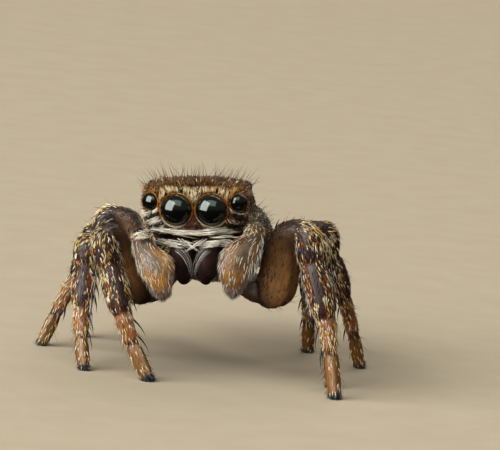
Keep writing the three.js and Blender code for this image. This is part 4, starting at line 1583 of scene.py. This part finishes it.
def palp_fringes(coat, limb, chance):
    """A pale tuft on the knob, feathery hair at the tip and a white fringe down the outer edge."""
    tuft = rooted(limb, ROOTS["knob tuft"], chance,
                  lambda s: (s["place"] < 0.13 + 0.08 * chance.random(len(s["place"])))
                  & (mottle(s["point"], 0.13, 5) > 0.55))
    hue = picked(chance, len(tuft["place"]), (0.35, 0.12, 0.18, 0.35), (CREAM, WHITE, GOLD, BROWN))
    lay_along(coat, chance, tuft, 0.3, (0.08, 0.14), 0.012, (12, 40), hue, 0.15)

    def feathery(s):
        edge = 0.3 * ramp(0.6, 0.9, np.abs(np.sin(s["angle"]))) * ramp(0.4, 0.6, s["place"])
        return chance.random(len(s["place"])) < 0.8 * ramp(0.76, 0.95, s["place"]) + edge

    feather = rooted(limb, ROOTS["tip feather"], chance, feathery)
    lay_along(coat, chance, feather, 0.22, (0.07, 0.15), 0.0045, (22, 55),
              lambda count: blend(SLATE * 1.5, PALE_GREY, chance.random(count)), 0.1)
    fringe = rooted(limb, ROOTS["palp fringe"], chance,
                    lambda s: (np.sin(s["angle"]) * limb.side > 0.8)
                    & (np.cos(s["angle"]) < 0.35) & (s["place"] > 0.14) & (s["place"] < 0.5))
    lay_along(coat, chance, fringe, 0.1, (0.2, 0.38), 0.0065, (6, 20), WHITE, 0.05)


# ---------------------------------------------------------------- the face

# Lines are cast back onto the face from this far before it, and no further than the reach.
FACE_START = -1.5
FACE_REACH = 2.2


def from_front(x, z):
    """Where a line straight back from before the face first meets the skin or the jaws."""
    back = BODY_TURN @ [0, 1, 0]
    points, normals, kept = [], [], []
    for start in from_body(aimed(x, FACE_START, z)):
        hits = [tree.ray_cast(Vector(start), Vector(back)) for tree in FACE_TREES]
        hits = [hit for hit in hits if hit[0] is not None]
        best = min(hits, key=lambda hit: hit[3]) if hits else None
        kept.append(best is not None and best[3] < FACE_REACH)
        points.append(best[0] if best else start)
        normals.append(best[1] if best else -back)
    return np.array(points), np.array(normals), np.array(kept, bool)


def jaw_tree(side):
    grid = JAWS[side].grid
    faces = grid_faces(*grid.shape[:2])
    return BVHTree.FromPolygons(grid.reshape(-1, 3).tolist(), faces.tolist())


FACE_TREES = [SKIN_TREE, jaw_tree(1), jaw_tree(-1)]


def inside_eye(x, z, margin):
    """Whether a place of the face lies within a front eye or a margin round it."""
    hit = np.zeros(len(x), bool)
    for side in (1, -1):
        for _, ex, _, ez, radius, _, turn in FRONT_EYES:
            wide = radius * math.cos(math.radians(turn)) + margin
            hit |= ((x - ex * side) / wide) ** 2 + ((z - ez) / (radius + margin)) ** 2 < 1
    return hit


def face_hairs(coat, x, z, way, length, width, rise, hue, curl=0.1, clear=0.0):
    """Hairs rooted at places seen from the front, lying along a way given in the body's frame."""
    point, normal, kept = from_front(x, z)
    kept &= ~inside_eye(x, z, clear)
    sizes = [value[kept] for value in spread_over(len(x), length, width, rise)]
    coat.add(point[kept], normal[kept], (way @ BODY_TURN.T)[kept], *sizes, hue[kept], curl)


def brow(coat):
    """The fringe over the eyes: cream low down, gold and orange above, with dark gaps."""
    chance = np.random.default_rng(60)
    count = ROOTS["brow"]
    x = chance.uniform(-1.16, 1.18, count)
    z = chance.uniform(0.14, 0.58, count)
    strand = mottle(aimed(x + 0.1 * z * x + 4.0, z * 0.12, 0), 0.034, 2)
    high = ramp(0.38, 0.52, z)
    corner = ramp(0.5, 1.0, np.abs(x))
    dark = ramp(0.44, 0.3, strand)
    weights = (1.5 * (1 - high) * (1 - 0.8 * corner) + 0.1, 0.35 + 1.3 * high + 0.9 * corner,
               0.04 + 0.4 * corner + 0.2 * high, 0.12 + 6.0 * dark + 0.3 * high)
    hues = (CREAM * 0.85, paint("cf9630"), ORANGE * 0.9, BLACK)
    hue, kind = chosen(chance, weights, hues, 0.3)
    black = kind == len(hues) - 1
    way = strewn(chance, unit(aimed(x * 0.3, -0.25, 1.0)), 0.1)
    length = np.where(black, 0.19, 0.14) * chance.uniform(0.7, 1.2, count)
    width = np.where(black, 0.008, 0.0095)
    face_hairs(coat, x, z, way, length, width, chance.uniform(14, 36, count), hue, clear=0.02)


def around_lens(eye, side, angle, reach, back):
    """Points round a lens in the model's stance, and the ways out from it in its own frame.

    Comes with the turn from that frame to the model's."""
    _, x, y, z, radius, _, turn = eye
    ring = aimed(np.cos(angle), 0, np.sin(angle))
    local = ring * (radius + np.broadcast_to(reach, len(angle)))[:, None]
    local[:, 1] += back
    spin = turned("Z", turn * side)
    point = from_body(local @ spin.T + [x * side, y, z])
    return point, ring, BODY_TURN @ spin


# Rows of fine scales round a lens, and the crescents below a large one: how far beyond its edge,
# how far back, how many.
RIM_ROWS = [(0.005, 0.0, 150), (0.014, 0.015, 70)]
CRESCENT_ROWS = [(0.02, -0.02, 240), (0.034, -0.01, 200)]
LARGE_EYE = EYES[0]


def rim_row(coat, chance, eye, side, reach, back, count, crescent):
    """One ring of scales round a lens, or a crescent below it."""
    main = eye is LARGE_EYE
    angle = (np.arange(count) + chance.random(count)) / count * 2 * np.pi
    if crescent:
        angle = angle[(np.sin(angle) < -0.55) & (np.cos(angle) * side > -0.6)]
        count = len(angle)
    point, ring, spin = around_lens(eye, side, angle, reach, back)
    down = np.where(np.cos(angle) > 0, -1, 1)[:, None]
    tangent = aimed(-np.sin(angle), 0, np.cos(angle)) * down
    facing = unit(ring * 0.5 + [0, -1, 0])
    below = ramp(-0.3, -0.65, np.sin(angle))
    inward = ramp(0.2, -0.9, np.cos(angle) * side) if main else ramp(-0.4, 0.5, np.sin(angle))
    weights = (3.5 * below + 0.02, 1.6 * (1 - below), 0.2 + 0.3 * inward, 0.3 * (1 - inward))
    hue, _ = chosen(chance, weights, (CREAM * 1.15, paint("e8891c"), GOLD, RUST), 0.25)
    length = chance.uniform(0.08, 0.13, count) * (1 if main else 0.7)
    rise = chance.uniform(2, 14, count)
    coat.add(point, facing @ spin.T, tangent @ spin.T, length, 0.0075, rise, hue, 0.25)


def eye_rims(coat):
    """Rings of fine scales round the front eyes, orange above and cream below."""
    chance = np.random.default_rng(61)
    for side in (1, -1):
        for eye in FRONT_EYES:
            for row in RIM_ROWS:
                rim_row(coat, chance, eye, side, *row, crescent=False)
            for row in CRESCENT_ROWS if eye is LARGE_EYE else []:
                rim_row(coat, chance, eye, side, *row, crescent=True)


def eye_surrounds(coat):
    """Short fur that lies forwards round the front eyes, out of the dips between them."""
    chance = np.random.default_rng(65)
    for side in (1, -1):
        for eye in FRONT_EYES:
            count = ROOTS["rim of large eye" if eye is LARGE_EYE else "rim of small eye"]
            angle = chance.uniform(0, 2 * np.pi, count)
            reach = chance.uniform(0.012, 0.05, count)
            back = chance.uniform(0.03, 0.14, count)
            point, ring, spin = around_lens(eye, side, angle, reach, back)
            up, down = ramp(0.3, 0.8, np.sin(angle)), ramp(-0.3, -0.8, np.sin(angle))
            beside = 1 - up - down
            weights = (0.5 * up, 0.5 * up + 0.5 * beside, 0.9 * beside + 0.1, 0.5 + 0.6 * down, 0.5)
            hue, _ = chosen(chance, weights, (CREAM, GOLD, ORANGE, BLACK, UMBER), 0.25)
            way = strewn(chance, np.broadcast_to([0, -1.0, 0], ring.shape), 0.25) @ spin.T
            length = chance.uniform(0.07, 0.12, count)
            rise = chance.uniform(4, 22, count)
            coat.add(point, ring @ spin.T, way, length, 0.0075, rise, hue, 0.1)


def floating(x, y, z):
    """Roots that aren't on the skin, in the body's frame, with the way they face."""
    return from_body(aimed(x, y, z)), np.tile(BODY_TURN @ [0, -1, 0], (len(x), 1))


# The colours of strands, and their shares in the dull fill and in the bright locks.
STRAND_HUES = (WHITE, CREAM * 0.8, PALE_GREY * 0.5, BROWN * 0.7)
FILL = (0.06, 0.28, 0.34, 0.32)
BRIGHT = (0.85, 0.15, 0.0, 0.0)
# Strands of one side, four sets under the eyes and four over the tops of the jaws: how many, the
# stretches of x and z where they start, y at the middle, slope, length, width, sag, shares of hues.
STRANDS_BY_SIDE = [
    (52, (0.12, 1.04), (-0.55, -0.43), -0.13, -0.1, (0.2, 0.4), 0.006, 0.1, FILL),
    (20, (0.5, 1.04), (-0.52, -0.44), -0.19, -0.16, (0.5, 0.95), 0.0095, 0.1, BRIGHT),
    (9, (0.1, 0.5), (-0.57, -0.52), -0.19, -0.04, (0.3, 0.5), 0.008, 0.06, BRIGHT),
    (10, (0.4, 1.0), (-0.47, -0.4), -0.15, -0.16, (0.25, 0.45), 0.0065, 0.1, BRIGHT),
    (48, (0.5, 0.98), (-0.84, -0.69), -0.15, -0.14, (0.18, 0.35), 0.006, 0.05, FILL),
    (18, (0.55, 1.0), (-0.78, -0.67), -0.19, -0.2, (0.4, 0.7), 0.0095, 0.06, BRIGHT),
    (9, (0.4, 0.6), (-0.85, -0.76), -0.2, -0.1, (0.2, 0.35), 0.007, 0.0, BRIGHT),
    (9, (0.06, 0.32), (-0.8, -0.7), -0.17, -0.4, (0.14, 0.24), 0.0065, 0.0, (0.2, 0.5, 0.1, 0.2)),
]
# A last set on the left side alone.
LEFT_STRANDS = (12, (0.72, 1.08), (-0.64, -0.58), -0.19, -0.03, (0.25, 0.42), 0.0085, 0.0, BRIGHT)
# The three hairs of each side that cross in the middle: x, z, slope, length.
CROSSING = [(0.17, -0.68, -0.8, 0.48), (0.25, -0.645, -0.74, 0.56), (0.34, -0.635, -0.68, 0.62)]
BUNDLE = 6


def sweep(coat, chance, side, count, x, z, y, slope, length, width, sag, shares):
    """Strands that start within a stretch of x and z and run in towards the middle."""
    x = chance.uniform(*x, count) * side
    z = chance.uniform(*z, count)
    point, facing = floating(x, y + 0.16 * np.abs(x) ** 3, z)
    way = aimed(-side, -0.14 * np.abs(x), chance.normal(slope, 0.04, count))
    hue = picked(chance, count, shares, STRAND_HUES)
    length = chance.uniform(*length, count)
    rise = chance.uniform(-2, 4, count)
    sway = chance.normal(sag, 0.04, count) * side
    coat.add(point, facing, unit(way) @ BODY_TURN.T, length, width, rise, hue, 0.0, sway)


def white_strands(coat):
    """Long white hairs that sweep inwards under the eyes and over the tops of the jaws."""
    chance = np.random.default_rng(62)
    for side in (1, -1):
        for row in STRANDS_BY_SIDE:
            sweep(coat, chance, side, *row)
        # Hairs that cross in the middle, and the two bundles that meet between the jaws.
        x, z, slope, length = np.array(CROSSING).T
        point, facing = floating(x * side, -0.4, z)
        way = unit(aimed(-side, 0, slope)) @ BODY_TURN.T
        coat.add(point, facing, way, length, 0.0078, 1, WHITE, 0.0, 0.03 * side)
        x = np.linspace(0.2, 0.42, BUNDLE)
        point, facing = floating(x * side, -0.2, -0.86 - 0.22 * x + chance.normal(0, 0.012, BUNDLE))
        way = unit(aimed(-side, -0.02, 2.2 * x - 1.44))
        hue = picked(chance, BUNDLE, (0.4, 0.6), (WHITE * 0.8, PALE_GREY * 0.8))
        way = strewn(chance, way, 0.03) @ BODY_TURN.T
        length = 0.65 * chance.uniform(0.9, 1.06, BUNDLE)
        coat.add(point, facing, way, length, 0.007, 1, hue, 0.0, -0.6 * side)
    sweep(coat, chance, 1, *LEFT_STRANDS)


def cheeks(coat):
    """White patches under the side eyes with dark stripes; the spider's left is browner and darker,
    which is painted shade on the side turned away from the key lamp.
    """
    chance = np.random.default_rng(63)
    count = ROOTS["cheeks"]
    x = chance.uniform(0.66, 1.28, count) * np.where(chance.random(count) < 0.5, -1, 1)
    z = chance.uniform(-0.6, 0.06, count)
    wide = np.abs(x)
    stripe = hump(z + 0.45 * (wide - 1.0), -0.145, 0.045) * ramp(1.24, 1.16, wide)
    stripe = np.maximum(stripe, hump(z + 0.26 * (wide - 1.0), -0.385, 0.04))
    # Painted shade: on the spider's left (x > 0) the cheek is darker, browner and has few white hairs.
    dark = np.clip(stripe * 1.6, 0, 1) * np.where(x > 0, 0.8, 1) + 0.25 * (x > 0)
    streak = mottle(aimed(wide + z * 0.9, z * 0.25 - wide * 0.25, 0), 0.055, 3)
    weights = ((1 - dark) * np.where(x > 0, 0.12, 1.3), (1 - dark) * np.where(x > 0, 0.6, 0.5),
               np.where(x > 0, 0.5, 0.04), 4.0 * dark ** 2 + 1.2 * ramp(0.45, 0.3, streak) + 0.02,
               np.where(x > 0, 0.2, 0.03))
    hue, _ = chosen(chance, weights, (WHITE, CREAM, BROWN, BLACK, RUST))
    way = strewn(chance, unit(aimed(0.85 * np.sign(x), 0.1, -0.55)), 0.12)
    length = chance.uniform(0.1, 0.18, count)
    face_hairs(coat, x, z, way, length, 0.0095, chance.uniform(6, 20, count), hue, clear=0.02)


def face_fur(coat):
    """Short dark fur between the eyes and down the jaws."""
    chance = np.random.default_rng(64)
    count = ROOTS["face"]
    x, z = chance.uniform(-1.2, 1.2, count), chance.uniform(-0.7, 0.36, count)
    gap = hump(np.abs(x), 0.81, 0.07) * ramp(-0.3, 0.1, z)
    low = ramp(-0.38, -0.46, z)
    weights = ((0.3 + 0.5 * gap) * (1 - low), 0.6 - 0.3 * gap, (0.1 + 1.0 * gap) * (1 - low),
               0.35 + 2 * low)
    hue, _ = chosen(chance, weights, (RUST, UMBER, ORANGE, BLACK))
    way = strewn(chance, unit(aimed(x * 0.2, 0, -1)), 0.2)
    face_hairs(coat, x, z, way, 0.08, 0.0085, 14, hue, 0.2)

    count = ROOTS["jaws"]
    x, z = chance.uniform(-0.58, 0.58, count), chance.uniform(-1.6, -0.85, count)
    hue = picked(chance, count, (0.35, 0.5, 0.15), (BROWN, BLACK, PALE_GREY))
    way = strewn(chance, unit(aimed(-x * 0.4, 0, -1)), 0.12)
    length = chance.uniform(0.12, 0.24, count)
    face_hairs(coat, x, z, way, length, 0.0065, chance.uniform(12, 30, count), hue, 0.2)


# ---------------------------------------------------------------- the whole coat

def by_kind(kind):
    return [limb for limb in LIMBS if limb.kind == kind]


for part in by_kind("leg"):
    leg_coat(part)
carapace_coat(by_kind("carapace")[0])
abdomen_coat(by_kind("abdomen")[0])
under_coat(by_kind("sternum") + by_kind("spinneret") + by_kind("pedicel"))

PALP_HAIR = Coat("coat_palps")
for part in by_kind("palp_arm") + by_kind("palp"):
    palp_coat(PALP_HAIR, part)
PALP_HAIR.grow(fullness=1.2, flatness=0.6, seed=14)

FACE_HAIR = Coat("coat_face")
face_fur(FACE_HAIR)
brow(FACE_HAIR)
cheeks(FACE_HAIR)
eye_rims(FACE_HAIR)
eye_surrounds(FACE_HAIR)
FACE_HAIR.grow(fullness=1.5, flatness=0.5, seed=15)

STRANDS = Coat("strands_under_eyes")
white_strands(STRANDS)
STRANDS.grow(sides=4, joints=6, fullness=1.6, flatness=0.6, seed=16)

BRISTLES = Coat("bristles")
for part in by_kind("leg"):
    leg_bristles(BRISTLES, part)
body_bristles(BRISTLES, by_kind("carapace")[0], ROOTS["back bristles"], 0.5, 70,
              lambda x, y, z: (z > 0.3) & (y > 0.02) & (y < 2))
body_bristles(BRISTLES, by_kind("abdomen")[0], ROOTS["abdomen bristles"], 0.34, 71,
              lambda x, y, z: z > -1.4)
BRISTLES.grow(finish=BRISTLE_FINISH, joints=4, fullness=0.3, flatness=1.0, seed=17)

SPINE_ROOTS = Coat("spines_and_claws")
for part in by_kind("leg"):
    leg_spines(SPINE_ROOTS, part)
    leg_claws(SPINE_ROOTS, part)
SPINE_ROOTS.grow(finish=CLAW_FINISH, sides=6, joints=6, fullness=0.8, flatness=1.0, seed=18)

# ---------------------------------------------------------------- floor, lights and camera

# The camera: what it looks at, degrees above the floor, distance, degrees of roll, how wide the
# view is at the spider (all lengths in millimetres).
AIM = np.array([1.33, 0.0, 3.81])
ELEVATION = 9
DISTANCE = 140
ROLL = 5.6
FRAME_WIDTH = 11.63
SENSOR = 36
# The stage, in metres.
FLOOR_REACH = 6.0
WALL_RADIUS = 0.4
WALL_SIDES = 64
LAMP_DISTANCE = 0.45
# How far above the floor the lamps look, in millimetres.
LAMP_AIM = EYE_HEIGHT * 0.7
# Lamps: name, way from the spider, size, power, colour.
LAMPS = [
    ("key", (-0.74, -0.54, 0.42), (0.45, 0.48), 4.8, (1.0, 0.98, 0.94)),
    ("wing", (-0.08, -0.62, 0.78), (0.45, 0.32), 0.76, (0.95, 1.0, 0.95)),
    ("back", (0.35, 0.75, 0.8), (0.39, 0.39), 0.75, (1.0, 0.97, 0.93)),
]
# Between these distances the floor's paint gives way to its even glow.
NEAR_FLOOR = 0.03
FAR_FLOOR = 0.15


def pale_finish(name):
    """Matt pale paint near the spider that turns into an even pale glow further off."""
    material, graph, shader = new_material(name, specular_ior_level=0.0)
    place = graph.add("ShaderNodeTexCoord").outputs["Object"]
    darker, lighter = with_alpha(paint("a99d88")), with_alpha(paint("b2a793"))
    tone = graph.mix(graph.noise(place, 900.0, 4.0), darker, lighter)
    apart = graph.add("ShaderNodeVectorMath", {0: place}, operation="LENGTH").outputs["Value"]
    far = graph.add("ShaderNodeMapRange", {0: apart, 1: NEAR_FLOOR, 2: FAR_FLOOR},
                    interpolation_type="SMOOTHSTEP").outputs[0]
    graph.link(graph.mix(far, tone, with_alpha(paint("000000"))), shader, "Base Color")
    graph.link(graph.between(graph.noise(place, 3000.0), 0.75, 0.9), shader, "Roughness")
    shader.inputs["Emission Color"].default_value = with_alpha(paint("bdae93"))
    graph.link(far, shader, "Emission Strength")
    return material


def stage_piece(name, points, faces, material):
    mesh = bpy.data.meshes.new(name)
    mesh.from_pydata(points, [], faces)
    piece = shown(name, mesh, material)
    piece.visible_glossy = False
    return piece


def floor():
    reach = FLOOR_REACH
    square = [(-reach, -reach, 0), (reach, -reach, 0), (reach, reach, 0), (-reach, reach, 0)]
    stage_piece("floor", square, [(0, 1, 2, 3)], pale_finish("pale_floor"))


def backdrop():
    """A pale wall round the floor, seen only in low views.

    The lamps stand outside it, so it casts no shadow and sends no light back."""
    ring = [(math.cos(a) * WALL_RADIUS, math.sin(a) * WALL_RADIUS) for a in angles(WALL_SIDES)]
    points = [(x, y, z) for z in (0, WALL_RADIUS) for x, y in ring]
    faces = grid_faces(2, WALL_SIDES).tolist()
    wall = stage_piece("backdrop", points, faces, pale_finish("pale_wall"))
    wall.visible_diffuse = False
    wall.visible_shadow = False


def softbox(name, way, size, power, colour):
    """A square lamp that looks at the spider from a direction given from it."""
    lamp = bpy.data.lights.new(name, "AREA")
    lamp.shape = "RECTANGLE"
    lamp.size, lamp.size_y = size
    lamp.energy = power
    lamp.color = colour
    light = bpy.data.objects.new(name, lamp)
    bpy.context.scene.collection.objects.link(light)
    target = Vector(to_frame([0, 0, LAMP_AIM]))
    way = Vector(way).normalized()
    light.visible_camera = False
    light.location = target + way * LAMP_DISTANCE
    light.rotation_euler = way.to_track_quat("Z", "Y").to_euler()


def lights():
    """The lamps, and a sky that is light above the horizon and dim below it."""
    for lamp in LAMPS:
        softbox(*lamp)
    world = bpy.data.worlds.new("studio")
    bpy.context.scene.world = world
    world.use_nodes = True
    graph = Graph(world.node_tree)
    place = graph.add("ShaderNodeTexCoord").outputs["Generated"]
    height = graph.add("ShaderNodeSeparateXYZ", {0: place}).outputs["Z"]
    sky = world.node_tree.nodes["Background"]
    sky.inputs["Color"].default_value = with_alpha(paint("cfc4b4"))
    graph.link(graph.between(height, 0.015, 0.26, -0.05, 0.3), sky, "Strength")


def camera():
    tilt, roll = math.radians(ELEVATION), math.radians(ROLL)
    forward = np.array([0, math.cos(tilt), -math.sin(tilt)])
    level, upright = np.array([1.0, 0, 0]), np.array([0, math.sin(tilt), math.cos(tilt)])
    right = level * math.cos(roll) + upright * math.sin(roll)
    up = upright * math.cos(roll) - level * math.sin(roll)
    view = bpy.data.cameras.new("camera")
    view.sensor_width = SENSOR
    view.lens = SENSOR * DISTANCE / FRAME_WIDTH
    view.clip_start, view.clip_end = 0.005, 20
    holder = bpy.data.objects.new("camera", view)
    bpy.context.scene.collection.objects.link(holder)
    place = Matrix(np.column_stack([right, up, -forward]).tolist()).to_4x4()
    place.translation = Vector(to_frame(AIM - forward * DISTANCE))
    holder.matrix_world = place
    bpy.context.scene.camera = holder


floor()
backdrop()
lights()
camera()
bpy.context.scene.view_settings.view_transform = "Standard"
